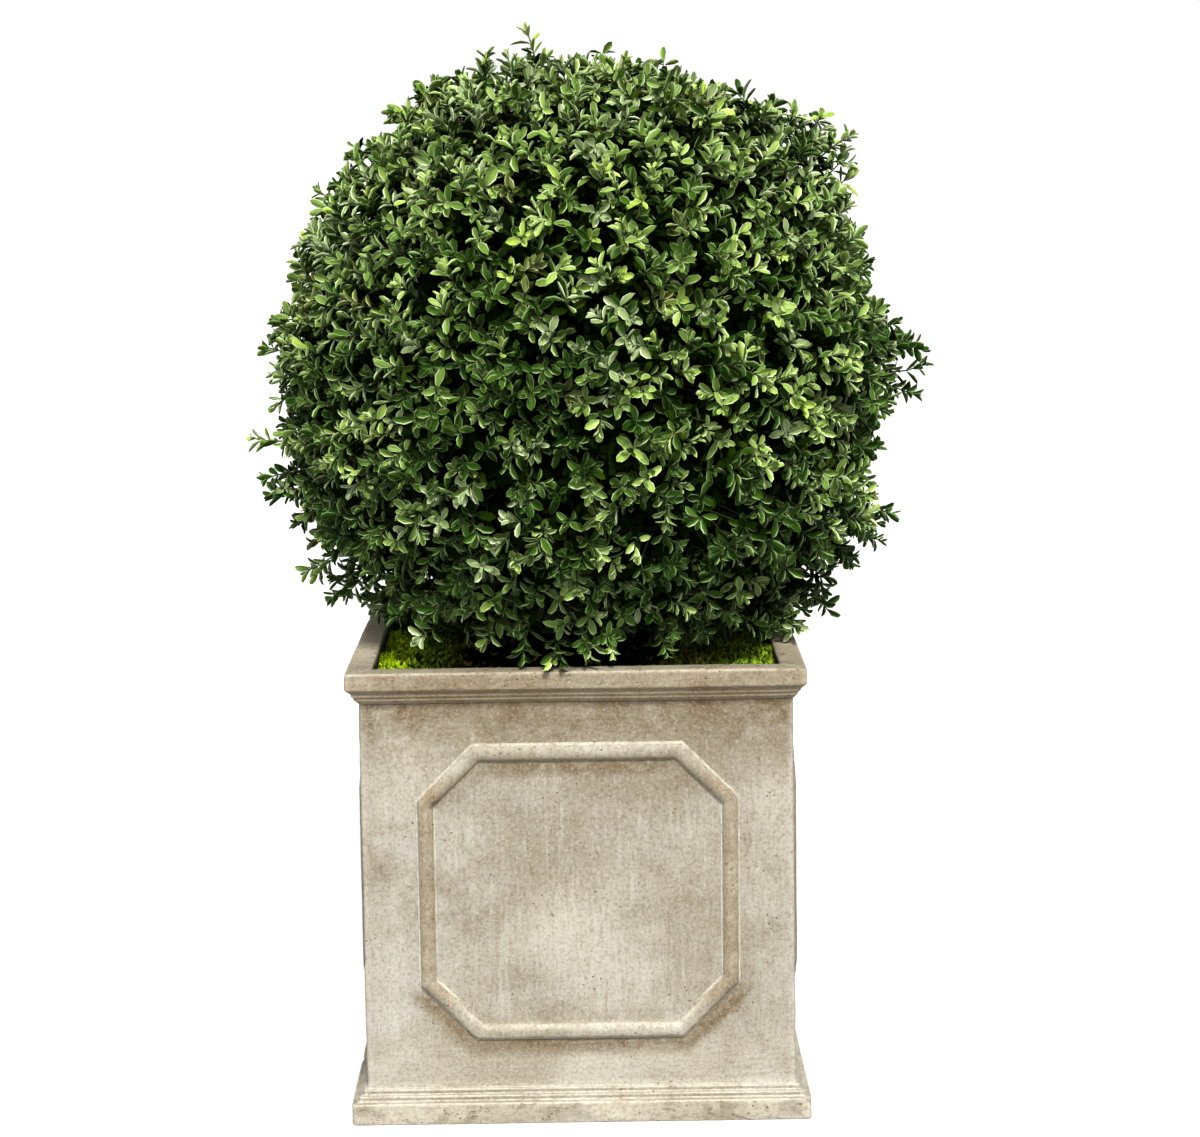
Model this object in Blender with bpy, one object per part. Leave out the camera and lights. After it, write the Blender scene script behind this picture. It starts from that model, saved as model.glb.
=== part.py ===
"""Box topiary ball in a square cast planter, as separate closed solids.

Metres, +Z up. The origin is the middle of the planter's flat underside; -Y is the
front and +X the right-hand side. The planter carries a filling, a bed of moss lies
on the filling, and a short stem stands on it. The clipped crown is one mass: a core
on its own stem, with seeded twigs that stand out of it and carry leaves in pairs.
"""

import math
import random

import bmesh
import bpy
from mathutils import Matrix, Vector

# ---- Driving dimensions of the planter, metres ----
GAP = 0.0003
PLANTER_HEIGHT = 0.465
RIM_WIDTH = 0.457
RIM_WALL = 0.0255
BODY_WIDTH_TOP = 0.431
BODY_WIDTH_BOTTOM = 0.435
PLINTH_WIDTH = 0.465
PLINTH_HEIGHT = 0.0222
PLINTH_BEAD_HEIGHT = 0.0056
PLINTH_BEAD_SHARE = 0.28
PLINTH_EDGE_IN = 0.0012
PLINTH_EDGE_DOWN = 0.0014
PLINTH_GROOVE = 0.0008
FASCIA_HEIGHT = 0.016
CORNICE_HEIGHT = 0.0335
FLOOR_THICKNESS = 0.018
CAVITY_WIDTH_BOTTOM = 0.396
CORNER_ROUNDING = 0.0035
CORNER_STEPS = 2
CAVITY_ROUNDING = 0.0020
EDGE_ROUNDING = 0.0020
CAVITY_FIT = GAP * 1.2
CAVITY_CORNER_FIT = CAVITY_ROUNDING * 0.4

# Cornice from the fascia down: shares of its overhang and of its depth
CORNICE_SHARES = (
    (0.250, 0.056),
    (0.433, 0.210),
    (0.500, 0.420),
    (0.560, 0.580),
    (0.760, 0.640),
    (0.760, 0.800),
    (0.920, 0.860),
    (1.000, 1.000),
)

# ---- Raised octagonal moulding on each side of the planter ----
MOULDING_CENTRE_HEIGHT = 0.237
MOULDING_WIDTH = 0.304
MOULDING_HEIGHT = 0.288
MOULDING_CHAMFER = 0.053
MOULDING_RADIUS = 0.0090
MOULDING_SINK = 0.0007
MOULDING_STEPS = 3

# ---- Filling, moss and stem ----
FILLING_TOP = 0.408
MOSS_TOP = 0.442
MOSS_LUMP = 0.007
MOSS_WAVES_ACROSS = 61.0
MOSS_WAVES_BACK = 53.0
MOSS_CROSS_WAVES = (97.0, 71.0)
MOSS_CROSS_SHARE = 0.6
MOSS_WAVE_SHIFTS = (1.3, -0.4, 2.1)
BACK_MOUND = 0.006
BACK_MOUND_ACROSS = (0.05, 0.17)
BACK_MOUND_BACK = (-0.19, 0.02)
LEFT_MOUND = 0.008
LEFT_MOUND_ACROSS = (0.13, 0.18)
RIGHT_MOUND = 0.011
RIGHT_MOUND_ACROSS = (0.145, 0.195)
MOSS_CELLS = 18
STEM_FOOT_RADIUS = 0.031
STEM_RADIUS = 0.019
STEM_TIP_RADIUS = 0.0165
STEM_TOP = 0.466
STEM_LEAN = 0.006
STEM_SIDES = 14
STEM_RIBS = 5
STEM_RIB_TURN = 0.6
STEM_RIPPLE = 0.03
STEM_RING_SHARES = (0.0, 0.06, 0.15, 0.3, 0.6, 1.0)
STEM_FLARE_POWER = 9
STEM_OPENING_DEPTH = 0.2
CROWN_STEM_LENGTH = 0.09
CROWN_STEM_TAPER = 0.8

# ---- Crown: half-sizes of the clipped outline, leaf tips included ----
CROWN_CENTRE = Vector((0.017, 0.0, 0.757))
CROWN_HALF_WIDTH = 0.325
CROWN_UP = 0.311
CROWN_DOWN = 0.294
CROWN_ROUND_POWER = 2.0
CROWN_FOOT_POWER = 3.1
CROWN_FOOT_RANGE = (0.0, 0.45)
CORE_DEPTH = 0.058
CORE_DEPTH_BELOW = 0.020
CORE_THIN_RANGE = (0.50, 0.95)
CORE_DETAIL = 4
LOWEST_LEAF = PLANTER_HEIGHT + 0.003
STEM_CLEAR_ANGLE = 17.0
SEED = 1847

# Each bulge: azimuth and elevation of its middle in degrees, height, angular radius
CROWN_BULGES = (
    (0.0, 42.0, 0.036, 11.0),
    (0.0, 16.0, -0.027, 14.0),
    (0.0, -1.0, 0.025, 8.0),
    (0.0, -22.0, -0.022, 14.0),
    (0.0, -54.0, 0.035, 15.0),
    (180.0, 62.0, 0.012, 18.0),
    (180.0, 40.0, -0.003, 16.0),
    (180.0, -50.0, 0.015, 17.0),
    (95.0, 35.0, 0.010, 20.0),
    (250.0, 28.0, 0.008, 22.0),
    (130.0, -8.0, 0.008, 20.0),
    (300.0, 5.0, -0.006, 18.0),
)

# ---- Twigs and leaves of the crown ----
TWIG_COUNT = 90
TWIG_BASE_RADIUS = 0.0042
TWIG_TIP_RADIUS = 0.0026
TWIG_ROOT_DEPTH = 0.022
TWIG_SWAY = 0.20
TWIG_STRAY = 0.05
TWIG_SPACING_KEPT = 0.45
TIP_SCATTER_IN = 0.010
TIP_SCATTER_OUT = 0.005
LEAF_LENGTH = 0.077
LEAF_WIDTH = 0.041
LEAF_THICKNESS = 0.0030
LEAF_WIDEST = 0.60
LEAF_ROOT_DEPTH = 0.0030
LEAF_CLEAR = 0.006
LEAF_REACH_SLACK = 0.004
LEAF_SIZE_RANGE = (0.92, 1.06)
LEAF_ANGLE_JITTER = 7.0
LEAF_TURN_JITTER = 0.15
PAIR_SPACING = 0.014
PAIR_BELOW_TIP = 0.004
LEAF_ANGLES = (68.0, 50.0)
LEAF_SIZES = (1.0, 0.80)

# ---- Colours ----
STONE_COLOR = (0.62, 0.57, 0.48)
FILLING_COLOR = (0.09, 0.07, 0.05)
MOSS_COLOR = (0.16, 0.24, 0.03)
BARK_COLOR = (0.17, 0.13, 0.09)
FOLIAGE_COLOR = (0.06, 0.16, 0.05)

# Long shoots past the clipped outline: azimuth and elevation in degrees, reach of the tip
LONG_SHOOTS = (
    (182.0, 80.0, 0.349),
    (178.0, 62.0, 0.330),
    (180.0, 32.0, 0.336),
    (180.0, 2.0, 0.346),
    (184.0, -23.0, 0.372),
    (176.0, -34.0, 0.368),
    (180.0, -43.0, 0.388),
    (2.0, 39.0, 0.366),
    (0.0, -2.5, 0.361),
    (356.0, -33.0, 0.374),
    (3.0, -48.0, 0.394),
    (85.0, 22.0, 0.349),
    (272.0, 48.0, 0.340),
    (58.0, -20.0, 0.362),
    (236.0, -12.0, 0.352),
)


def clear_scene():
    """Remove whatever the file starts with."""
    for item in list(bpy.data.objects):
        bpy.data.objects.remove(item, do_unlink=True)


def make_collection(name):
    """Add a collection to the scene."""
    collection = bpy.data.collections.new(name)
    bpy.context.scene.collection.children.link(collection)
    return collection


def make_material(name, color, roughness):
    """Principled material with the part's own colour and roughness."""
    material = bpy.data.materials.new(name)
    material.use_nodes = True
    shader = material.node_tree.nodes["Principled BSDF"]
    shader.inputs["Base Color"].default_value = (*color, 1.0)
    shader.inputs["Roughness"].default_value = roughness
    shader.inputs["Metallic"].default_value = 0.0
    material.diffuse_color = (*color, 1.0)
    return material


def make_object(name, mesh, collection, material=None):
    """Wrap a mesh in an object of the given collection."""
    item = bpy.data.objects.new(name, mesh)
    collection.objects.link(item)
    if material:
        mesh.materials.clear()
        mesh.materials.append(material)
    return item


def mesh_from(name, form):
    """Turn a bmesh into a mesh and free it."""
    bmesh.ops.recalc_face_normals(form, faces=form.faces)
    mesh = bpy.data.meshes.new(name)
    form.to_mesh(mesh)
    form.free()
    return mesh


def evaluated_mesh(item):
    """The object's mesh with its modifiers or its curve bevel applied."""
    graph = bpy.context.evaluated_depsgraph_get()
    return bpy.data.meshes.new_from_object(item.evaluated_get(graph), depsgraph=graph)


def mark_as_cutter(item):
    """Show a cutter as wire and keep it out of the part."""
    item.display_type = "WIRE"
    item.hide_render = True


def blend(value, low, high):
    """Smooth step from 0 at low to 1 at high."""
    share = min(max((value - low) / (high - low), 0.0), 1.0)
    return share * share * (3.0 - 2.0 * share)


# ---- Planter ----


def cornice_profile():
    """Half-widths and heights from the rim's outer edge down to the top of the body."""
    rim = RIM_WIDTH / 2
    body = BODY_WIDTH_TOP / 2
    fall = rim - body
    top = PLANTER_HEIGHT - FASCIA_HEIGHT
    drop = CORNICE_HEIGHT - FASCIA_HEIGHT
    points = [(rim - EDGE_ROUNDING, PLANTER_HEIGHT), (rim, PLANTER_HEIGHT - EDGE_ROUNDING), (rim, top)]
    for inward, down in CORNICE_SHARES:
        points.append((rim - fall * inward, top - drop * down))
    return points


def plinth_profile():
    """Half-widths and heights from the foot of the body down to the underside."""
    body = BODY_WIDTH_BOTTOM / 2
    block = PLINTH_WIDTH / 2
    spread = block - body
    points = [(body, PLINTH_HEIGHT + 2 * PLINTH_BEAD_HEIGHT)]
    for bead in (1, 2):
        top = PLINTH_HEIGHT + (3 - bead) * PLINTH_BEAD_HEIGHT
        out = body + spread * PLINTH_BEAD_SHARE * bead
        points.append((out - PLINTH_EDGE_IN, top))
        points.append((out, top - PLINTH_EDGE_DOWN))
        points.append((out, top - PLINTH_BEAD_HEIGHT + PLINTH_GROOVE))
    points.append((block - PLINTH_EDGE_IN, PLINTH_HEIGHT))
    points.append((block, PLINTH_HEIGHT - PLINTH_EDGE_DOWN))
    points.append((block, 0.0))
    return points


def rounded_square(half, corner, height):
    """Points of a level square ring with rounded corners."""
    points = []
    for quarter in range(4):
        turn = math.radians(90.0 * quarter)
        for step in range(CORNER_STEPS + 1):
            angle = turn + math.radians(90.0 * step / CORNER_STEPS)
            middle = Vector((half - corner, half - corner, 0.0))
            middle.rotate(Matrix.Rotation(turn, 3, "Z"))
            reach = Vector((math.cos(angle), math.sin(angle), 0.0)) * corner
            points.append(middle + reach + Vector((0.0, 0.0, height)))
    return points


def lofted(name, rings):
    """A closed body through level rings with the same number of points, capped at both ends."""
    form = bmesh.new()
    loops = [[form.verts.new(point) for point in ring] for ring in rings]
    count = len(loops[0])
    for lower, upper in zip(loops, loops[1:]):
        for place in range(count):
            after = (place + 1) % count
            form.faces.new((lower[place], lower[after], upper[after], upper[place]))
    form.faces.new(loops[0])
    form.faces.new(loops[-1])
    return mesh_from(name, form)


def planter_shell(collection, material):
    """The hollow square body, lofted from its floor up the cavity, over the rim and down."""
    mouth = RIM_WIDTH / 2 - RIM_WALL
    inside = [(CAVITY_WIDTH_BOTTOM / 2, FLOOR_THICKNESS)]
    inside.append((mouth, PLANTER_HEIGHT - EDGE_ROUNDING))
    inside.append((mouth + EDGE_ROUNDING, PLANTER_HEIGHT))
    rings = [rounded_square(half, CAVITY_ROUNDING, height) for half, height in inside]
    outside = cornice_profile() + plinth_profile()
    rings += [rounded_square(half, CORNER_ROUNDING, height) for half, height in outside]
    return make_object("planter", lofted("planter", rings), collection, material)


def octagon_points():
    """Corners of the moulding's centre line, across and up from its middle."""
    half = MOULDING_WIDTH / 2
    tall = MOULDING_HEIGHT / 2
    cut = MOULDING_CHAMFER
    quarter = [(half, tall - cut), (half - cut, tall)]
    points = list(quarter)
    points += [(-x, z) for x, z in reversed(quarter)]
    points += [(-x, -z) for x, z in quarter]
    points += [(x, -z) for x, z in reversed(quarter)]
    return points


def moulding(index, collection):
    """One raised bead round an octagon, lying half in the face of the body."""
    curve = bpy.data.curves.new("moulding", "CURVE")
    curve.dimensions = "3D"
    curve.bevel_depth = MOULDING_RADIUS
    curve.bevel_resolution = MOULDING_STEPS
    corners = octagon_points()
    spline = curve.splines.new("POLY")
    spline.points.add(len(corners) - 1)
    for point, (across, up) in zip(spline.points, corners):
        point.co = (across, 0.0, up, 1.0)
    spline.use_cyclic_u = True
    draft = bpy.data.objects.new("moulding", curve)
    collection.objects.link(draft)
    body_height = PLANTER_HEIGHT - CORNICE_HEIGHT - PLINTH_HEIGHT
    flare = (BODY_WIDTH_BOTTOM - BODY_WIDTH_TOP) / 2
    up_share = (PLANTER_HEIGHT - CORNICE_HEIGHT - MOULDING_CENTRE_HEIGHT) / body_height
    stand = BODY_WIDTH_TOP / 2 + flare * up_share - MOULDING_SINK
    place = Matrix.Rotation(math.radians(90.0 * index), 4, "Z")
    place = place @ Matrix.Translation((0.0, -stand, MOULDING_CENTRE_HEIGHT))
    place = place @ Matrix.Rotation(-math.atan(flare / body_height), 4, "X")
    bpy.context.view_layer.update()
    mesh = evaluated_mesh(draft)
    bpy.data.objects.remove(draft, do_unlink=True)
    mesh.transform(place)
    return make_object("moulding_%d" % index, mesh, collection)


def build_planter(collection, cutters, material):
    """The planter: the lofted shell with a moulding joined to each of its four sides."""
    shell = planter_shell(collection, material)
    beads = bpy.data.collections.new("mouldings")
    cutters.children.link(beads)
    for index in range(4):
        mark_as_cutter(moulding(index, beads))
    join = shell.modifiers.new("join mouldings", "BOOLEAN")
    join.operation = "UNION"
    join.operand_type = "COLLECTION"
    join.collection = beads
    join.solver = "EXACT"
    return shell


# ---- Filling, moss and stem ----


def cavity_half(height):
    """Half the cavity's width at a height."""
    share = (height - FLOOR_THICKNESS) / (PLANTER_HEIGHT - FLOOR_THICKNESS)
    low = CAVITY_WIDTH_BOTTOM / 2
    return low + (RIM_WIDTH / 2 - RIM_WALL - low) * share


def fit_in_cavity(vert, height):
    """Move a vertex of a square form of half-width one to its place in the cavity."""
    half = cavity_half(height) - CAVITY_FIT
    if abs(vert.co.x * vert.co.y) > 0.999:
        half -= CAVITY_CORNER_FIT
    vert.co = Vector((vert.co.x * half, vert.co.y * half, height))


def build_filling(collection, material):
    """The filling: a tapered block that fits the cavity above its floor."""
    form = bmesh.new()
    bmesh.ops.create_cube(form, size=2.0)
    for vert in form.verts:
        fit_in_cavity(vert, FILLING_TOP if vert.co.z > 0 else FLOOR_THICKNESS + GAP)
    return make_object("potting_fill", mesh_from("potting_fill", form), collection, material)


def moss_height(x, y):
    """Height of the moss: low cushions, mounds along both sides and one at the back right."""
    across, back, crossed = MOSS_WAVE_SHIFTS
    cushions = math.sin(x * MOSS_WAVES_ACROSS + across) * math.cos(y * MOSS_WAVES_BACK + back)
    diagonal = x * MOSS_CROSS_WAVES[0] + y * MOSS_CROSS_WAVES[1]
    cushions += MOSS_CROSS_SHARE * math.sin(diagonal + crossed)
    back_mound = BACK_MOUND * blend(x, *BACK_MOUND_ACROSS) * blend(y, *BACK_MOUND_BACK)
    right_mound = RIGHT_MOUND * blend(x, *RIGHT_MOUND_ACROSS)
    mounds = max(back_mound, right_mound) + LEFT_MOUND * blend(-x, *LEFT_MOUND_ACROSS)
    return MOSS_TOP + MOSS_LUMP * 0.5 * cushions + mounds


def build_moss(collection, cutters, material):
    """The bed of moss: a lumpy slab with a round opening for the stem."""
    bottom = FILLING_TOP + GAP
    form = bmesh.new()
    bmesh.ops.create_grid(form, x_segments=MOSS_CELLS, y_segments=MOSS_CELLS, size=1.0)
    top = list(form.verts)
    extruded = bmesh.ops.extrude_face_region(form, geom=list(form.faces))["geom"]
    low_faces = [item for item in extruded if isinstance(item, bmesh.types.BMFace)]
    low = {vert for face in low_faces for vert in face.verts}
    for vert in form.verts:
        fit_in_cavity(vert, bottom)
    for vert in top:
        vert.co.z = moss_height(vert.co.x, vert.co.y)
    edges = list({edge for face in low_faces for edge in face.edges})
    bmesh.ops.dissolve_limit(form, angle_limit=0.01, verts=list(low), edges=edges)
    moss = make_object("moss_bed", mesh_from("moss_bed", form), collection, material)
    sides = STEM_SIDES * 2
    clear = (STEM_FOOT_RADIUS * (1.0 + STEM_RIPPLE) + GAP) / math.cos(math.pi / sides)
    cutter_form = bmesh.new()
    bmesh.ops.create_cone(cutter_form, cap_ends=True, segments=sides, radius1=clear, radius2=clear,
                          depth=STEM_OPENING_DEPTH)
    cutter = make_object("stem_opening", mesh_from("stem_opening", cutter_form), cutters)
    cutter.location = (CROWN_CENTRE.x, CROWN_CENTRE.y, bottom)
    mark_as_cutter(cutter)
    cut = moss.modifiers.new("opening for the stem", "BOOLEAN")
    cut.operation = "DIFFERENCE"
    cut.object = cutter
    cut.solver = "EXACT"
    return moss


def lofted_limb(name, centres, radii, ripple=0.0):
    """A round limb through level rings, closed by a flat cut at each end."""
    rings = []
    for centre, radius in zip(centres, radii):
        ring = []
        for side in range(STEM_SIDES):
            angle = math.tau * side / STEM_SIDES
            reach = radius * (1.0 + ripple * math.cos(STEM_RIBS * angle + STEM_RIB_TURN))
            ring.append(centre + Vector((math.cos(angle), math.sin(angle), 0.0)) * reach)
        rings.append(ring)
    return lofted(name, rings)


def stem_centre(height):
    """Middle of the stem at a height: it leans a little to the back as it rises."""
    share = (height - FILLING_TOP) / (STEM_TOP - FILLING_TOP)
    return Vector((CROWN_CENTRE.x, CROWN_CENTRE.y + STEM_LEAN * share * share, height))


def build_stem(collection, material):
    """The short main stem, flared at its flat foot and cut level at its tip."""
    foot = FILLING_TOP + GAP
    centres = []
    radii = []
    for share in STEM_RING_SHARES:
        height = foot + (STEM_TOP - foot) * share
        flare = (STEM_FOOT_RADIUS - STEM_RADIUS) * (1.0 - share) ** STEM_FLARE_POWER
        centres.append(stem_centre(height))
        radii.append(STEM_RADIUS + (STEM_TIP_RADIUS - STEM_RADIUS) * share + flare)
    mesh = lofted_limb("main_stem", centres, radii, ripple=STEM_RIPPLE)
    return make_object("main_stem", mesh, collection, material)


# ---- Crown ----


def direction_of(azimuth, elevation):
    """Unit vector for an azimuth and an elevation in degrees."""
    around = math.radians(azimuth)
    up = math.radians(elevation)
    return Vector((math.cos(around) * math.cos(up), math.sin(around) * math.cos(up), math.sin(up)))


def crown_radius(direction):
    """Reach of the clipped outline from the crown's middle along a unit vector."""
    level = math.hypot(direction.x, direction.y)
    tall = CROWN_UP if direction.z > 0 else CROWN_DOWN
    foot = blend(-direction.z, *CROWN_FOOT_RANGE)
    power = CROWN_ROUND_POWER + (CROWN_FOOT_POWER - CROWN_ROUND_POWER) * foot
    total = (level / CROWN_HALF_WIDTH) ** power + (abs(direction.z) / tall) ** power
    reach = total ** (-1.0 / power)
    for azimuth, elevation, height, spread in CROWN_BULGES:
        angle = math.degrees(direction.angle(direction_of(azimuth, elevation)))
        reach += height * math.exp(-((angle / spread) ** 2))
    return reach


def core_radius(direction):
    """Reach of the dense core: under the clipped outline by a layer that thins out below."""
    thin = blend(-direction.z, *CORE_THIN_RANGE)
    return crown_radius(direction) - CORE_DEPTH + (CORE_DEPTH - CORE_DEPTH_BELOW) * thin


def even_directions(count):
    """Directions spread evenly over a sphere, by the golden angle."""
    golden = math.pi * (3.0 - math.sqrt(5.0))
    for index in range(count):
        height = 1.0 - 2.0 * (index + 0.5) / count
        ring = math.sqrt(1.0 - height * height)
        yield Vector((ring * math.cos(golden * index), ring * math.sin(golden * index), height))


def keeps_its_space(point, allowed_reach):
    """True where a tip stays above the rim and within a reach of the crown's middle."""
    offset = point - CROWN_CENTRE
    return point.z > LOWEST_LEAF and offset.length <= allowed_reach


def stands_out(point):
    """True where a point of a leaf lies clear outside the core."""
    offset = point - CROWN_CENTRE
    return offset.length > core_radius(offset.normalized()) + LEAF_CLEAR


def unit_leaf():
    """A leaf of eight faces, one long, broad and thick, rooted at the origin along +Z."""
    form = bmesh.new()
    bmesh.ops.create_uvsphere(form, u_segments=4, v_segments=2, radius=1.0)
    for vert in form.verts:
        along = LEAF_WIDEST
        if vert.co.z > 0.5:
            along = 1.0
        elif vert.co.z < -0.5:
            along = 0.0
        vert.co = Vector((vert.co.x * 0.5, vert.co.y * 0.5, along))
    return mesh_from("leaf", form)


def unit_twig():
    """A three-sided twig one long, whose tip is thinner than its foot."""
    form = bmesh.new()
    bmesh.ops.create_cone(form, cap_ends=True, segments=3, radius1=1.0,
                          radius2=TWIG_TIP_RADIUS / TWIG_BASE_RADIUS, depth=1.0)
    bmesh.ops.translate(form, verts=form.verts, vec=(0.0, 0.0, 0.5))
    return mesh_from("twig", form)


def place_along(root, direction, twist, sizes):
    """Matrix that stands a unit form at a root, along a direction, turned and sized."""
    turn = direction.to_track_quat("Z", "Y").to_matrix().to_4x4()
    spin = Matrix.Rotation(twist, 4, "Z")
    scale = Matrix.Diagonal((*sizes, 1.0))
    return Matrix.Translation(root) @ turn @ spin @ scale


def add_shoot(meshes, pieces, aim, reach, chance):
    """One twig out of the core, with a pair of leaves below its tip and one at it."""
    leaf_mesh, twig_mesh = meshes
    tip_span = LEAF_LENGTH * LEAF_SIZES[-1] * math.cos(math.radians(LEAF_ANGLES[-1]))
    tip = CROWN_CENTRE + aim * (reach - tip_span)
    sway = Vector((chance.uniform(-1, 1), chance.uniform(-1, 1), chance.uniform(-1, 1)))
    heading = (aim + sway * TWIG_SWAY).normalized()
    length = (tip - CROWN_CENTRE).length - core_radius(aim) + TWIG_ROOT_DEPTH
    root = tip - heading * length
    if not keeps_its_space(tip, reach):
        return 0
    spin = chance.uniform(0.0, math.tau)
    sizes = (TWIG_BASE_RADIUS, TWIG_BASE_RADIUS, length)
    twig = bpy.data.objects.new("twig", twig_mesh)
    twig.matrix_world = place_along(root, heading, spin, sizes)
    pieces.objects.link(twig)
    across = heading.orthogonal().normalized()
    count = 0
    for pair, (angle, size) in enumerate(zip(LEAF_ANGLES, LEAF_SIZES)):
        below_tip = PAIR_SPACING * (len(LEAF_ANGLES) - 1 - pair) + PAIR_BELOW_TIP
        joint = tip - heading * below_tip
        for side in (0, 1):
            turn = spin + math.pi * side + math.pi / 2 * pair
            turn += chance.uniform(-LEAF_TURN_JITTER, LEAF_TURN_JITTER)
            outward = Matrix.Rotation(turn, 3, heading) @ across
            spread = math.radians(angle + chance.uniform(-LEAF_ANGLE_JITTER, LEAF_ANGLE_JITTER))
            grow = heading * math.cos(spread) + outward * math.sin(spread)
            length_now = LEAF_LENGTH * size * chance.uniform(*LEAF_SIZE_RANGE)
            end = joint + grow * length_now
            middle = joint + grow * length_now * LEAF_WIDEST
            allowed = reach + LEAF_REACH_SLACK
            if not (keeps_its_space(end, allowed) and stands_out(end) and stands_out(middle)):
                continue
            edge_way = outward.cross(grow).normalized()
            turned = Matrix((edge_way, grow.cross(edge_way), grow)).transposed()
            blade = Matrix.Translation(joint - grow * LEAF_ROOT_DEPTH) @ turned.to_4x4()
            leaf = bpy.data.objects.new("leaf", leaf_mesh)
            width = LEAF_WIDTH * size
            leaf.matrix_world = blade @ Matrix.Diagonal((width, LEAF_THICKNESS, length_now, 1.0))
            pieces.objects.link(leaf)
            count += 1
    return count


def crown_core(collection, material):
    """The dense middle of the crown, a smaller copy of its outline."""
    form = bmesh.new()
    bmesh.ops.create_icosphere(form, subdivisions=CORE_DETAIL, radius=1.0)
    for vert in form.verts:
        direction = vert.co.normalized()
        vert.co = CROWN_CENTRE + direction * core_radius(direction)
    return make_object("box_ball", mesh_from("box_ball", form), collection, material)


def crown_stem(pieces):
    """The crown's own stem, from just above the main stem's tip into the core."""
    low = STEM_TOP + GAP
    high = low + CROWN_STEM_LENGTH
    centres = [stem_centre(low), stem_centre(high)]
    radii = [STEM_TIP_RADIUS, STEM_TIP_RADIUS * CROWN_STEM_TAPER]
    mesh = lofted_limb("crown_stem", centres, radii)
    pieces.objects.link(bpy.data.objects.new("crown_stem", mesh))


def keep_largest_body(mesh):
    """Drop any scrap that the union left apart from the mass."""
    form = bmesh.new()
    form.from_mesh(mesh)
    form.verts.ensure_lookup_table()
    unseen = set(form.verts)
    bodies = []
    while unseen:
        front = [unseen.pop()]
        body = set(front)
        while front:
            vert = front.pop()
            for edge in vert.link_edges:
                other = edge.other_vert(vert)
                if other in unseen:
                    unseen.remove(other)
                    body.add(other)
                    front.append(other)
        bodies.append(body)
    bodies.sort(key=len)
    for body in bodies[:-1]:
        bmesh.ops.delete(form, geom=list(body), context="VERTS")
    form.to_mesh(mesh)
    form.free()


def build_crown(collection, material):
    """The crown as one mass: core, stem, twigs and leaves joined by one union."""
    chance = random.Random(SEED)
    pieces = make_collection("crown pieces")
    core = crown_core(collection, material)
    crown_stem(pieces)
    meshes = (unit_leaf(), unit_twig())
    long_aims = [direction_of(azimuth, elevation) for azimuth, elevation, _ in LONG_SHOOTS]
    for aim, (_, _, reach) in zip(long_aims, LONG_SHOOTS):
        add_shoot(meshes, pieces, aim, reach, chance)
    clear_angle = math.sqrt(4.0 * math.pi / TWIG_COUNT) * TWIG_SPACING_KEPT
    for even in even_directions(TWIG_COUNT):
        stray = Vector((chance.uniform(-1, 1), chance.uniform(-1, 1), chance.uniform(-1, 1)))
        aim = (even + stray * TWIG_STRAY).normalized()
        if min(aim.angle(other) for other in long_aims) < clear_angle:
            continue
        if math.degrees(aim.angle(Vector((0.0, 0.0, -1.0)))) < STEM_CLEAR_ANGLE:
            continue
        reach = crown_radius(aim) + chance.uniform(-TIP_SCATTER_IN, TIP_SCATTER_OUT)
        add_shoot(meshes, pieces, aim, reach, chance)
    join = core.modifiers.new("join twigs and leaves", "BOOLEAN")
    join.operation = "UNION"
    join.operand_type = "COLLECTION"
    join.collection = pieces
    join.solver = "MANIFOLD"
    bpy.context.view_layer.update()
    mesh = evaluated_mesh(core)
    core.modifiers.clear()
    core.data = mesh
    keep_largest_body(mesh)
    for piece in list(pieces.objects):
        bpy.data.objects.remove(piece, do_unlink=True)
    bpy.data.collections.remove(pieces)
    return core


def main():
    """Model the whole plant in its planter."""
    clear_scene()
    parts = make_collection("box_topiary_ball")
    cutters = make_collection("cutters")
    stone = make_material("cast_stone", STONE_COLOR, 0.9)
    filling = make_material("potting_filling", FILLING_COLOR, 0.95)
    moss = make_material("moss", MOSS_COLOR, 0.95)
    bark = make_material("stem_bark", BARK_COLOR, 0.85)
    foliage = make_material("foliage", FOLIAGE_COLOR, 0.6)
    build_planter(parts, cutters, stone)
    build_filling(parts, filling)
    build_moss(parts, cutters, moss)
    build_stem(parts, bark)
    build_crown(parts, foliage)


main()
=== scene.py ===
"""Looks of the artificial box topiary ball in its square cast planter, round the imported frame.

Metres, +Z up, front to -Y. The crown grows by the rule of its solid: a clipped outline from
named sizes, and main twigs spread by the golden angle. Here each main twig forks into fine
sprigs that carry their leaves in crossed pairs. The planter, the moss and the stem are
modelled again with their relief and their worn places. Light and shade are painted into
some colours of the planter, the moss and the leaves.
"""

import math

import bmesh
import bpy
import numpy as np
from mathutils import Matrix, Vector, noise

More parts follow.
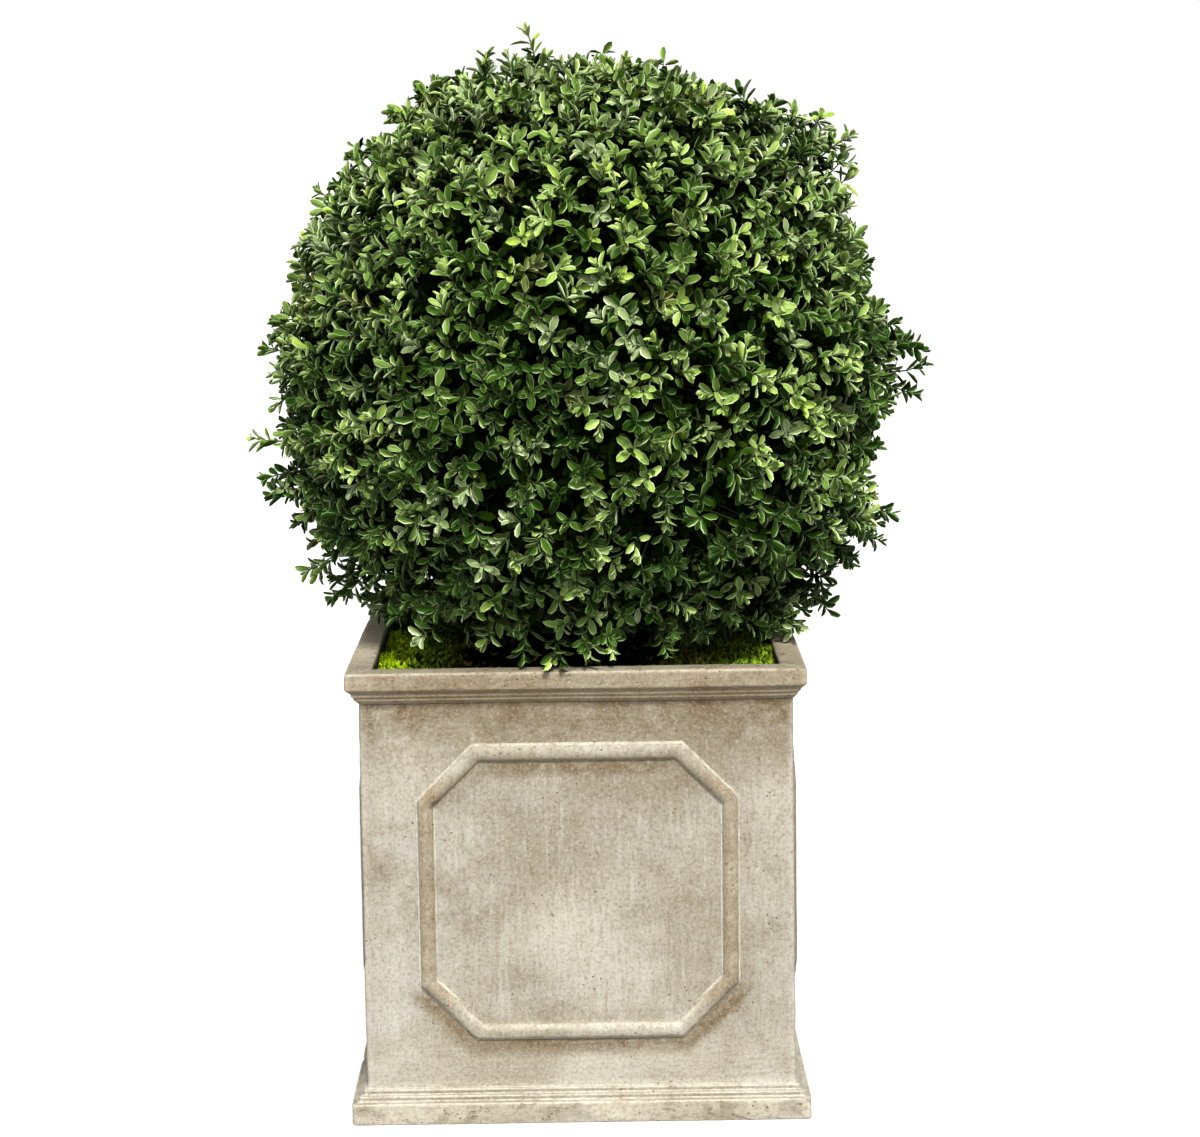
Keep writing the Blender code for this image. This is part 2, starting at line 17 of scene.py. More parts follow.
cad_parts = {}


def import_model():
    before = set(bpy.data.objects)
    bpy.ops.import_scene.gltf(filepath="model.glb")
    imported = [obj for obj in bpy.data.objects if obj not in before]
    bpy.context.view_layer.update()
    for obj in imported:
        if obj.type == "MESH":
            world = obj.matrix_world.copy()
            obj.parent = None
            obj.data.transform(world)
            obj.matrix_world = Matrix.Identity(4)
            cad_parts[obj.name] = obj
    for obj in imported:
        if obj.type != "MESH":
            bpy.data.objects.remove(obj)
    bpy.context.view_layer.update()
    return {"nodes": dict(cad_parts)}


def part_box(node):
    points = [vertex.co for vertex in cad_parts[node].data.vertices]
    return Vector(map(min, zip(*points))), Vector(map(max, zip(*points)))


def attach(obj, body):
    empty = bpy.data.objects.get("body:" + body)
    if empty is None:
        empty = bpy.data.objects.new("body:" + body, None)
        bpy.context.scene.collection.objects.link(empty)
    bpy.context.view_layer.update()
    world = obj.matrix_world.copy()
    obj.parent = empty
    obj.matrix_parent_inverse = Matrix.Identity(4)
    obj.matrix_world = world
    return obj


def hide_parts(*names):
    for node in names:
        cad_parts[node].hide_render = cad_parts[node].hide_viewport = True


# ---- Camera, from the photograph ----
SENSOR_WIDTH = 36.0
LENS = 75.0
SHIFT_Y = -0.0571
CAMERA_PLACE = Vector((0.0165, -2.6358, 0.9999))
CAMERA_PITCH = 8.609
CAMERA_YAW = 0.233
CAMERA_ROLL = -0.759
FARTHEST_SEEN = 200.0

# ---- Light ----
# Soft distant lights: strength, width, tilt from overhead and turn from the front, in degrees
LIGHTS = (
    ("key", 3.35, 14.0, 44.0, 10.0),
    ("fill", 0.80, 40.0, 64.0, -12.0),
    ("left", 0.22, 40.0, 62.0, -80.0),
    ("right", 0.22, 40.0, 62.0, 80.0),
    ("back", 0.34, 40.0, 62.0, 180.0),
)
SKY_OVERHEAD = 0.22
SKY_HORIZON = 0.79
SKY_BELOW = 0.44
# Heights of the view direction over which the sky changes
SKY_LOWER_STEP = (-0.12, -0.03)
SKY_UPPER_STEP = (0.08, 0.50)
SUN_COLOR = (1.0, 0.985, 0.95)
WHITE = (1.0, 1.0, 1.0)
FLOOR_SHADE = 0.18
FLOOR_GLOW = 0.70
FLOOR_HALF = 60.0
FLOOR_DROP = 0.0002
EXPOSURE = 0.35
GAMMA = 0.72

# ---- Planter ----
RIM_HALF = 0.2285
RIM_WALL = 0.0255
MOUTH_HALF = RIM_HALF - RIM_WALL
BODY_HALF_TOP = 0.2155
BODY_HALF_BOTTOM = 0.2175
BODY_TOP = 0.4315
FASCIA_HEIGHT = 0.016
CORNICE_HEIGHT = 0.0335
PLINTH_HEIGHT = 0.0222
BEAD_HEIGHT = 0.0056
BEAD_SHARE = 0.28
CAVITY_FLOOR = 0.018
CAVITY_HALF_BOTTOM = 0.198
ARRIS = 0.0024
# Cornice below the fascia: shares of its overhang and of its depth
CORNICE_SHARES = (
    (0.00, 0.00), (0.04, 0.06), (0.14, 0.14), (0.30, 0.25), (0.42, 0.36), (0.44, 0.39),
    (0.44, 0.46), (0.52, 0.52), (0.64, 0.62), (0.66, 0.65), (0.66, 0.73), (0.74, 0.78),
    (0.86, 0.90), (0.94, 0.97),
)
CORNER_ROUNDING = 0.0038
CORNER_STEPS = 4
SIDE_CELLS = 96
UNEVENNESS = 0.0007
ROUGHNESS_DEPTH = 0.00025
EDGE_WEAR = 0.0011

# ---- Octagonal moulding on each side ----
MOULDING_CENTRE_HEIGHT = 0.237
MOULDING_HALF_WIDTH = 0.152
MOULDING_HALF_HEIGHT = 0.144
MOULDING_CHAMFER = 0.051
MOULDING_RADIUS = 0.0086
MOULDING_LIFT = 0.0076
MOULDING_LEDGE = 0.0009
MOULDING_STEP = 0.0035
MOULDING_CORE = 0.09
# Bands of stain and painted shade round the mouldings: offset of their middle, spread
STAIN_AND_SHADE_CENTRE = 0.0065
STAIN_AND_SHADE_SPREAD = 0.0095

# Chips and nicks: place, radius, depth
CHIPS = (
    (-0.143, -0.224, 0.3365, 0.0045, 0.003), (0.151, -0.224, 0.338, 0.004, 0.0022),
    (-0.112, -0.224, 0.09, 0.004, 0.002), (0.232, -0.232, 0.02, 0.006, 0.003),
    (-0.139, -0.232, 0.006, 0.004, 0.0016), (0.204, -0.228, 0.465, 0.004, 0.0014),
    (-0.228, 0.06, 0.464, 0.006, 0.002), (0.228, 0.11, 0.463, 0.005, 0.002),
    (-0.09, 0.228, 0.464, 0.006, 0.0022), (-0.232, -0.1, 0.021, 0.006, 0.0024),
    (0.06, 0.232, 0.02, 0.007, 0.0028),
)
# Patches on each side, as on the front: place, radius, stretch upward, amount
PALE_SPOTS = (
    (-0.17, -0.216, 0.385, 0.026, 1.6, 0.50), (-0.098, -0.216, 0.4, 0.014, 0.7, 0.55),
    (-0.205, -0.216, 0.33, 0.022, 2.4, 0.10), (-0.02, -0.216, 0.215, 0.045, 1.0, 0.30),
    (0.04, -0.216, 0.15, 0.05, 0.8, 0.15), (-0.19, -0.216, 0.14, 0.026, 2.6, 0.06),
    (0.19, -0.216, 0.33, 0.02, 2.4, 0.28), (0.0, -0.216, 0.06, 0.3, 0.10, 0.14),
)
GRIME_SPOTS = (
    (-0.05, -0.216, 0.262, 0.026, 0.7, 0.22), (0.02, -0.216, 0.33, 0.04, 0.6, 0.22),
    (0.095, -0.216, 0.345, 0.028, 0.8, 0.26), (-0.12, -0.216, 0.225, 0.02, 1.6, 0.16),
    (0.06, -0.216, 0.215, 0.024, 0.8, 0.14), (-0.195, -0.216, 0.25, 0.016, 1.8, 0.17),
    (0.2, -0.216, 0.185, 0.02, 2.2, 0.22), (0.123, -0.228, 0.446, 0.012, 0.6, 0.45),
    (-0.13, -0.228, 0.457, 0.09, 0.25, 0.26), (0.14, -0.232, 0.004, 0.026, 0.3, 0.50),
    (-0.14, -0.216, 0.335, 0.012, 1.0, 0.55), (-0.206, -0.15, 0.465, 0.003, 1.0, 0.80),
    (-0.205, -0.128, 0.465, 0.004, 1.0, 0.80), (-0.209, -0.105, 0.465, 0.003, 1.0, 0.80),
    (0.208, -0.16, 0.465, 0.004, 1.0, 0.80), (0.158, -0.216, 0.14, 0.02, 1.2, 0.26),
    (0.15, -0.216, 0.1, 0.03, 1.0, 0.28),
)

# ---- Moss and stem ----
MOSS_TOP = 0.442
MOSS_LUMP = 0.007
MOSS_MOUND = 0.006
LEFT_MOUND = 0.008
RIGHT_MOUND = 0.011
MOSS_CELLS = 110
MOSS_CUSHION = 0.0050
TUFT_COUNT = 9000
TUFT_BLADES = 3
TUFT_LENGTH = 0.0086
TUFT_WIDTH = 0.0017
# In the order of moss_kind: name, colour. The bright tint is partly the moss's own colour, partly
# painted light; the shaded tint is painted shade.
TUFT_TINTS = (
    ("bright", (0.50, 0.63, 0.019)),
    ("green", (0.295, 0.440, 0.040)),
    ("brown", (0.25, 0.22, 0.046)),
    ("shaded", (0.052, 0.074, 0.013)),
)
STEM_RADIUS = 0.0185
STEM_TAPER = 0.0025
STEM_FLARE = 0.011
STEM_LEAN = 0.006
STEM_SIDES = 48
STEM_RINGS = 40

# ---- Crown: the rule and the sizes of its solid ----
CROWN_CENTRE = np.array((0.017, 0.0, 0.757))
CROWN_HALF_WIDTH = 0.325
CROWN_UP = 0.311
CROWN_DOWN = 0.294
CROWN_ROUND_POWER = 2.0
CROWN_FOOT_POWER = 3.1
CORE_DEPTH = 0.075
TWIG_COUNT = 90
TIP_SCATTER = 0.020
CLUMP_DEPTH = 0.009
FOOT_RAGGEDNESS = 0.045
FOOT_THINNING = 0.30
THINNED_REACH = 0.080
FAR_SHARE = 0.07
SEED = 1847
# Bulges of the outline: azimuth and elevation, height, spread
CROWN_BULGES = (
    (0, 42, 0.036, 11), (0, 16, -0.027, 14), (0, -1, 0.025, 8), (0, -22, -0.022, 14),
    (0, -54, 0.035, 15), (180, 62, 0.012, 18), (180, 40, -0.003, 16), (180, -50, 0.015, 17),
    (95, 35, 0.010, 20), (250, 28, 0.008, 22), (130, -8, 0.008, 20), (300, 5, -0.006, 18),
)
# Shoots that stand out: azimuth and elevation, reach
LONG_SHOOTS = (
    (182, 80, 0.349), (178, 62, 0.330), (180, 32, 0.336), (180, 2, 0.346), (184, -23, 0.372),
    (176, -34, 0.368), (180, -43, 0.388), (2, 39, 0.366), (0, -2.5, 0.361), (356, -33, 0.374),
    (3, -48, 0.394), (85, 22, 0.349), (272, 48, 0.340), (58, -20, 0.362), (236, -12, 0.352),
)
# Tips of the sprigs that hang over the rim
HANGING_TIPS = (
    (-0.052, -0.215, 0.478), (-0.028, -0.233, 0.469), (-0.012, -0.228, 0.474), (0.012, -0.222, 0.472),
    (0.036, -0.214, 0.478), (0.092, -0.204, 0.474), (0.25, 0.05, 0.474), (0.196, 0.12, 0.458),
    (-0.205, 0.11, 0.472), (0.06, 0.252, 0.474), (-0.07, 0.195, 0.458),
)
# Middles of the rosettes that face forward at the foot of the ball
ROSETTE_TIPS = (
    (-0.156, -0.205, 0.496), (-0.093, -0.196, 0.487), (-0.058, -0.208, 0.502), (-0.015, -0.228, 0.511),
    (0.009, -0.226, 0.49), (0.034, -0.214, 0.498), (0.05, -0.226, 0.518), (0.069, -0.228, 0.527),
    (0.096, -0.206, 0.497), (0.116, -0.204, 0.519), (0.13, -0.192, 0.492), (0.158, -0.19, 0.508),
    (0.187, -0.15, 0.497), (-0.111, -0.225, 0.526), (-0.141, -0.215, 0.524), (-0.181, -0.17, 0.513),
    (-0.115, -0.25, 0.562), (-0.08, -0.232, 0.535), (-0.04, -0.235, 0.538), (-0.21, -0.06, 0.5),
    (-0.193, -0.09, 0.498), (-0.222, -0.02, 0.5), (0.237, -0.06, 0.5), (0.255, -0.03, 0.498),
    (0.226, -0.08, 0.505), (0.015, -0.238, 0.535), (-0.213, 0.03, 0.486), (-0.203, 0.005, 0.484),
    (-0.224, 0.05, 0.492), (-0.232, 0.09, 0.494), (0.207, -0.06, 0.482), (0.213, -0.092, 0.484),
    (0.222, -0.07, 0.486), (0.23, -0.1, 0.486), (0.218, -0.03, 0.484), (0.234, -0.02, 0.488),
    (0.24, -0.08, 0.494), (0.226, 0.02, 0.486), (0.24, 0.06, 0.492), (0.214, -0.116, 0.48),
    (0.227, -0.122, 0.483), (-0.216, -0.004, 0.482),
)

# ---- Sprigs and leaves ----
OUTER_SPRIGS = 2280
INNER_SPRIGS = 1000
SPRIG_ROOT_DEPTH = 0.070
LEAF_LENGTH = 0.0168
LEAF_WIDTH = 0.0073
TIP_SPAN = 0.006
# Pairs of leaves from the tip down: depth, size, angle
PAIRS = (
    (0.0006, 0.50, 14.0), (0.0036, 0.80, 27.0), (0.0080, 1.00, 38.0), (0.0132, 1.06, 47.0),
    (0.0190, 1.04, 54.0), (0.0252, 1.00, 60.0), (0.0320, 0.96, 65.0), (0.0395, 0.92, 68.0),
)
INNER_PAIRS = (
    (0.001, 0.9, 30.0), (0.008, 1.15, 50.0), (0.016, 1.25, 62.0), (0.025, 1.25, 70.0),
    (0.035, 1.2, 76.0),
)
DETAILED_PAIRS = 6
LOWEST_TIP = 0.462
LOWEST_LEAF = 0.4675
LOWEST_INSIDE = 0.452
PIECE_TRIANGLES = 190000
ROSETTE_LIFT = 0.36
HANGING_DROOP = -0.50
SHOOT_COMPANIONS = 4
COMPANION_STRAY = 0.080
SPRIG_SWAY = 0.62
PLACED_SWAY = 0.20
BEND_SHARE = 0.55
BOUGH_START = 0.60
UP = np.array((0.0, 0.0, 1.0))
# Leaf tints, dark to light: name, blade, margin, the blade's specular, share among sprigs. The pale
# margin is partly the leaves' own lighter edge, partly a painted highlight.
LEAF_TINTS = (
    ("deep", (0.034, 0.086, 0.008), (0.184, 0.257, 0.108), 0.22, 0.20),
    ("dark", (0.076, 0.153, 0.019), (0.310, 0.392, 0.203), 0.22, 0.24),
    ("olive", (0.148, 0.188, 0.048), (0.395, 0.435, 0.225), 0.34, 0.03),
    ("mid", (0.176, 0.270, 0.058), (0.458, 0.540, 0.338), 0.34, 0.23),
    ("fresh", (0.325, 0.440, 0.125), (0.595, 0.672, 0.448), 0.34, 0.16),
    ("dusty", (0.300, 0.374, 0.186), (0.560, 0.622, 0.446), 0.34, 0.115),
    ("yellow", (0.385, 0.512, 0.112), (0.612, 0.700, 0.396), 0.34, 0.035),
)
BOUGH_TINTS = (0, 1, 1, 3, 3, 4, 5)
# Painted shade: deeper leaves take these dark tints, and the deepest pairs a blade colour scaled down
# by the factor below
LOW_LEAF_TINTS = (0, 1, 3)
LOW_LEAF_PAINTED_SHADE = np.array((0.34, 0.36, 0.22))
# Painted light and shade by height: the tint draw leans lighter at the top and the foot, darker
# between
DRAW_POWER = 1.98
TOP_PAINTED_LIGHT = 1.62
FOOT_PAINTED_LIGHT = 0.88


def unit(vectors):
    """The vectors scaled to length one."""
    return vectors / np.maximum(np.linalg.norm(vectors, axis=-1, keepdims=True), 1e-12)


def blend(value, low, high):
    """Smooth step from 0 at low to 1 at high."""
    share = np.clip((value - low) / (high - low), 0.0, 1.0)
    return share * share * (3.0 - 2.0 * share)


def noise_at(points, scale, shift=0.0):
    """Smooth noise from about -1 to 1 at each point."""
    move = Vector((shift, shift * 0.7, -shift))
    return np.array([noise.noise(Vector(point) * scale + move) for point in points])


def fractal_at(points, scale, octaves, shift=0.0):
    """Noise summed over octaves."""
    total = np.zeros(len(points))
    for octave in range(octaves):
        total += noise_at(points, scale * 2.0**octave, shift + 7.3 * octave) / 2.0**octave
    return total


# ---- Materials ----


class Nodes:
    """Short ways to add nodes to a node tree."""

    def __init__(self, tree):
        self.tree = tree

    def feed(self, socket, value):
        """Link a socket or set its value, a colour from three numbers."""
        if isinstance(value, bpy.types.NodeSocket):
            self.tree.links.new(value, socket)
        else:
            socket.default_value = (*value, 1.0) if socket.type == "RGBA" else value

    def add(self, kind, output, inputs, **settings):
        """One output of a new node, after its settings and its inputs."""
        made = self.tree.nodes.new("ShaderNode" + kind)
        for name, value in settings.items():
            setattr(made, name, value)
        for place, value in inputs.items():
            self.feed(made.inputs[place], value)
        return made.outputs[output]

    def ramp(self, value, low, high, start=0.0, end=1.0):
        """Smooth step of a value between two limits."""
        inputs = {"Value": value, "From Min": low, "From Max": high, "To Min": start, "To Max": end}
        return self.add("MapRange", "Result", inputs, interpolation_type="SMOOTHSTEP")

    def math(self, operation, first, second):
        """A sum, product or other simple function of two values."""
        return self.add("Math", "Value", {0: first, 1: second}, operation=operation)


class Finish(Nodes):
    """A Principled material with the textures that its colours are made of."""

    def __init__(self, name, color, roughness, specular):
        self.material = bpy.data.materials.new(name)
        self.material.use_nodes = True
        super().__init__(self.material.node_tree)
        self.surface("Base Color", color)
        self.surface("Roughness", roughness)
        self.surface("Specular IOR Level", specular)
        self.material.diffuse_color = (*color, 1.0)

    def surface(self, name, value):
        """Feed an input of the shader."""
        self.feed(self.tree.nodes["Principled BSDF"].inputs[name], value)

    def place(self, stretch=(1.0, 1.0, 1.0)):
        """Object coordinates in metres, stretched for streaks."""
        coordinates = self.add("TexCoord", "Object", {})
        return self.add("Mapping", "Vector", {"Scale": stretch, "Vector": coordinates})

    def noise(self, scale, detail=3.0, roughness=0.55, distortion=0.0, stretch=(1.0, 1.0, 1.0)):
        """Noise value over the object."""
        inputs = {"Vector": self.place(stretch), "Scale": scale, "Detail": detail}
        inputs |= {"Roughness": roughness, "Distortion": distortion}
        return self.add("TexNoise", "Fac", inputs)

    def pits(self, scale):
        """Distance to scattered points, low in the middle of each pit."""
        return self.add("TexVoronoi", "Distance", {"Vector": self.place(), "Scale": scale})

    def attribute(self, name, share=1.0):
        """A value painted on the mesh's points, times a share."""
        painted = self.add("Attribute", "Fac", {}, attribute_name=name)
        return painted if share == 1.0 else self.math("MULTIPLY", painted, share)

    def between(self, share, first, second):
        """A value between two others."""
        return self.add("Mix", 0, {0: share, 2: first, 3: second})

    def mix(self, share, first, second, way="MIX"):
        """Mix of two colours, each a socket or three numbers."""
        return self.add("Mix", 2, {0: share, 6: first, 7: second}, data_type="RGBA", blend_type=way)

    def bump(self, height, distance, strength=1.0, below=None):
        """Bump from a height value; returns the normal, and links it when it is the last."""
        inputs = {"Height": height, "Distance": distance, "Strength": strength}
        if below:
            inputs["Normal"] = below
        normal = self.add("Bump", "Normal", inputs)
        self.surface("Normal", normal)
        return normal


def stone_finish():
    """Weathered cast stone: tan ground, pale wash, streaks, fine pits and brown stains; the recesses
    carry painted shade, some faces painted light.
    """
    stone = Finish("cast_stone", (0.56, 0.50, 0.40), 0.9, 0.25)
    ramp, painted = stone.ramp, stone.attribute
    level = painted("level_strokes")

    def strokes(scale, detail, roughness, distortion, along, across):
        """Noise drawn out upright, or level where the mesh says so."""
        form = (scale, detail, roughness, distortion)
        upright = stone.noise(*form, (across, across, along))
        return stone.between(level, upright, stone.noise(*form, (along, along, across)))

    cloud = stone.noise(8.0, 5.0, 0.58, 0.5)
    trowel = stone.noise(7.5, 3.0, 0.55, 1.2, (1.0, 1.0, 1.5))
    dull = stone.noise(10.0, 3.0, 0.58, 0.9, (1.0, 1.0, 1.2))
    ragged = stone.noise(60.0, 5.0, 0.7, 0.5)
    streak = strokes(11.0, 5.0, 0.66, 0.0, 1.3, 19.0)
    hatch = strokes(60.0, 3.0, 0.6, 0.3, 1.0, 5.5)
    speck = stone.noise(290.0, 3.0, 0.7)
    fleck = stone.noise(400.0, 2.0, 0.6)
    sound = stone.math("ADD", stone.noise(24.0), painted("pitting", 0.10))
    whole = stone.math("SUBTRACT", 1.0, ramp(sound, 0.54, 0.62))
    pitted = stone.math("MAXIMUM", ramp(stone.pits(150.0), 0.05, 0.20), whole)
    chip = ramp(stone.noise(75.0, 4.0, 0.7, 0.4, (0.7, 0.7, 1.5)), 0.58, 0.70)
    chip = stone.math("MULTIPLY", chip, painted("pitting"))
    # Layers over the ground, each a share, a colour and the way it is laid
    layers = (
        (ramp(cloud, 0.40, 0.66, 0.0, 0.55), (0.446, 0.434, 0.404), "MIX"),
        (ramp(trowel, 0.48, 0.58, 0.0, 0.26), (0.471, 0.461, 0.435), "MIX"),
        (ramp(streak, 0.48, 0.72, 0.0, 0.46), (0.491, 0.480, 0.448), "MIX"),
        (ramp(dull, 0.50, 0.64, 0.0, 0.34), (0.299, 0.262, 0.207), "MIX"),
        # Whitish wash: real patches, plus painted light on the rim tops in the ball's shade
        (painted("pale", ramp(cloud, 0.20, 0.60, 0.35, 1.0)), (0.566, 0.536, 0.472), "MIX"),
        # Brown dirt, plus painted shade in the recesses, under overhangs and in bands round the
        # mouldings
        (painted("grime_and_shade", ramp(ragged, 0.25, 0.62, 0.45, 1.15)), (0.216, 0.172, 0.110), "MIX"),
        # Cream worn edges, plus painted light on the rim tops and on the mouldings' shaded lower sides
        (painted("wear_and_painted_light", ramp(ragged, 0.34, 0.56, 0.25, 1.0)), (0.540, 0.520, 0.469), "MIX"),
        (ramp(hatch, 0.46, 0.68, 0.0, 0.42), (0.78, 0.75, 0.70), "MULTIPLY"),
        (ramp(speck, 0.44, 0.68, 0.0, 0.72), (0.72, 0.69, 0.64), "MULTIPLY"),
        (ramp(fleck, 0.50, 0.74, 0.0, 0.30), (0.571, 0.558, 0.522), "MIX"),
        # Warmer tone, plus painted warm bounce light in the shade under the cornice and the mouldings
        (painted("warm"), (1.0, 0.93, 0.80), "MULTIPLY"),
        # Painted shade: near-black on the inner walls just below the rim
        (painted("painted_wall_shade"), (0.050, 0.042, 0.030), "MIX"),
        (stone.math("MULTIPLY", chip, 0.50), (0.235, 0.186, 0.122), "MIX"),
        (stone.math("SUBTRACT", 1.0, pitted), (0.202, 0.159, 0.109), "MIX"),
    )
    patches = ramp(stone.noise(9.0, 5.0, 0.58, 0.2), 0.36, 0.66)
    color = stone.mix(patches, (0.336, 0.307, 0.255), (0.402, 0.380, 0.332))
    for share, paint, way in layers:
        color = stone.mix(share, color, paint, way)
    stone.surface("Base Color", color)
    # Relief: height, distance, strength
    relief = (
        (stone.math("SUBTRACT", 1.0, chip), 0.0012, 0.7),
        (stone.noise(90.0, 4.0, 0.6), 0.0006, 0.6),
        (pitted, 0.0007, 0.8),
        (hatch, 0.0004, 0.5),
        (speck, 0.00025, 0.8),
    )
    normal = None
    for row in relief:
        normal = stone.bump(*row, normal)
    return stone.material


def plain_finish(name, color, roughness, specular):
    """A plain colour, for the many small leaves and tufts."""
    return Finish(name, color, roughness, specular).material


# ---- Meshes ----


def make_piece(name, points, faces, materials, choice=None, paints=None):
    """A smooth mesh object from arrays: points, faces of one kind, a material for each face."""
    mesh = bpy.data.meshes.new(name)
    count, corners = faces.shape
    mesh.vertices.add(len(points))
    mesh.vertices.foreach_set("co", points.astype(np.float32).ravel())
    mesh.loops.add(count * corners)
    mesh.loops.foreach_set("vertex_index", faces.astype(np.int32).ravel())
    mesh.polygons.add(count)
    mesh.polygons.foreach_set("loop_start", np.arange(0, count * corners, corners, dtype=np.int32))
    for material in materials:
        mesh.materials.append(material)
    if choice is not None:
        mesh.polygons.foreach_set("material_index", choice.astype(np.int32))
    mesh.update(calc_edges=True)
    mesh.shade_smooth()
    for paint, values in (paints or {}).items():
        layer = mesh.attributes.new(paint, "FLOAT", "POINT")
        layer.data.foreach_set("value", values.astype(np.float32))
    return placed(name, mesh)


def placed(name, data):
    """A new object in the scene."""
    item = bpy.data.objects.new(name, data)
    bpy.context.scene.collection.objects.link(item)
    return item


def add_piece(name, node, slot, *parts, **more):
    """A piece that rides on the root and stands for a node, whose part it hides; the slot is not used.
    """
    item = make_piece(name, *parts, **more)
    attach(item, "root")
    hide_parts(node)
    return item


def grid_faces(rows, columns, closed):
    """Quads between rows of points, closed round each row or open."""
    index = np.arange(rows * columns).reshape(rows, columns)
    after = np.roll(index, -1, axis=1)
    if not closed:
        index, after = index[:, :-1], after[:, :-1]
    return np.stack((index[:-1], after[:-1], after[1:], index[1:]), axis=-1).reshape(-1, 4)


def repeated(faces, count, size):
    """The faces of one small form, for a count of forms with the same number of points."""
    return (faces[None] + np.arange(count)[:, None, None] * size).reshape(-1, 3)


# ---- Camera, light and floor ----


def set_camera():
    """The camera at the photograph's angle, with a small shift for its framing."""
    pitch, yaw, roll = (math.radians(angle) for angle in (CAMERA_PITCH, CAMERA_YAW, CAMERA_ROLL))
    flat = math.cos(pitch)
    ahead = Vector((math.sin(yaw) * flat, math.cos(yaw) * flat, -math.sin(pitch)))
    level = ahead.cross(Vector((0.0, 0.0, 1.0))).normalized()
    upright = level.cross(ahead)
    right = level * math.cos(roll) + upright * math.sin(roll)
    up = upright * math.cos(roll) - level * math.sin(roll)
    data = bpy.data.cameras.new("camera")
    data.sensor_width = SENSOR_WIDTH
    data.lens = LENS
    data.shift_y = SHIFT_Y
    data.clip_end = FARTHEST_SEEN
    camera = placed("camera", data)
    turn = Matrix((right, up, -ahead)).transposed()
    camera.matrix_world = Matrix.Translation(CAMERA_PLACE) @ turn.to_4x4()
    bpy.context.scene.camera = camera


def add_sun(name, strength, softness, tilt, turn):
    """A soft distant light, tilted from straight above towards the front, angles in degrees."""
    data = bpy.data.lights.new(name, "SUN")
    data.energy = strength
    data.angle = math.radians(softness)
    data.color = SUN_COLOR
    placed(name, data).rotation_euler = (math.radians(tilt), 0.0, math.radians(turn))


def set_light():
    """A key from above, weak fills all round, and a pale sky brightest at the horizon."""
    for light in LIGHTS:
        add_sun(*light)
    scene = bpy.context.scene
    scene.world = bpy.data.worlds.new("studio")
    scene.world.use_nodes = True
    sky = Nodes(scene.world.node_tree)
    height = sky.add("SeparateXYZ", "Z", {"Vector": sky.add("TexCoord", "Generated", {})})
    lit = sky.ramp(height, *SKY_LOWER_STEP, SKY_BELOW, SKY_HORIZON)
    dim = sky.ramp(height, *SKY_UPPER_STEP, 0.0, SKY_HORIZON - SKY_OVERHEAD)
    background = sky.tree.nodes["Background"].inputs
    sky.feed(background["Color"], WHITE)
    sky.feed(background["Strength"], sky.math("SUBTRACT", lit, dim))
    scene.view_settings.view_transform = "Standard"
    scene.view_settings.exposure = EXPOSURE
    scene.view_settings.gamma = GAMMA


def build_floor():
    """A plain pale floor, which throws no light up at the plant."""
    corners = np.array(((-1, -1), (1, -1), (1, 1), (-1, 1))) * FLOOR_HALF
    points = np.column_stack((corners, np.full(4, -FLOOR_DROP)))
    shade = Finish("floor", (FLOOR_SHADE,) * 3, 0.9, 0.0)
    shade.surface("Emission Color", WHITE)
    shade.surface("Emission Strength", FLOOR_GLOW)
    item = make_piece("floor", points, np.array(((0, 1, 2, 3),)), [shade.material])
    item.visible_diffuse = False


# ---- Planter ----


def straight(start, end, count):
    """Points from a start up to an end, without the end."""
    share = np.linspace(0.0, 1.0, count, endpoint=False)[:, None]
    return list(np.array(start) + (np.array(end) - np.array(start)) * share)


def arc(across, up, radius, start, end, count):
    """Points on an arc round a centre, angles in degrees, both ends included."""
    angles = np.radians(np.linspace(start, end, count))
    return list(np.stack((across + radius * np.cos(angles), up + radius * np.sin(angles)), 1))


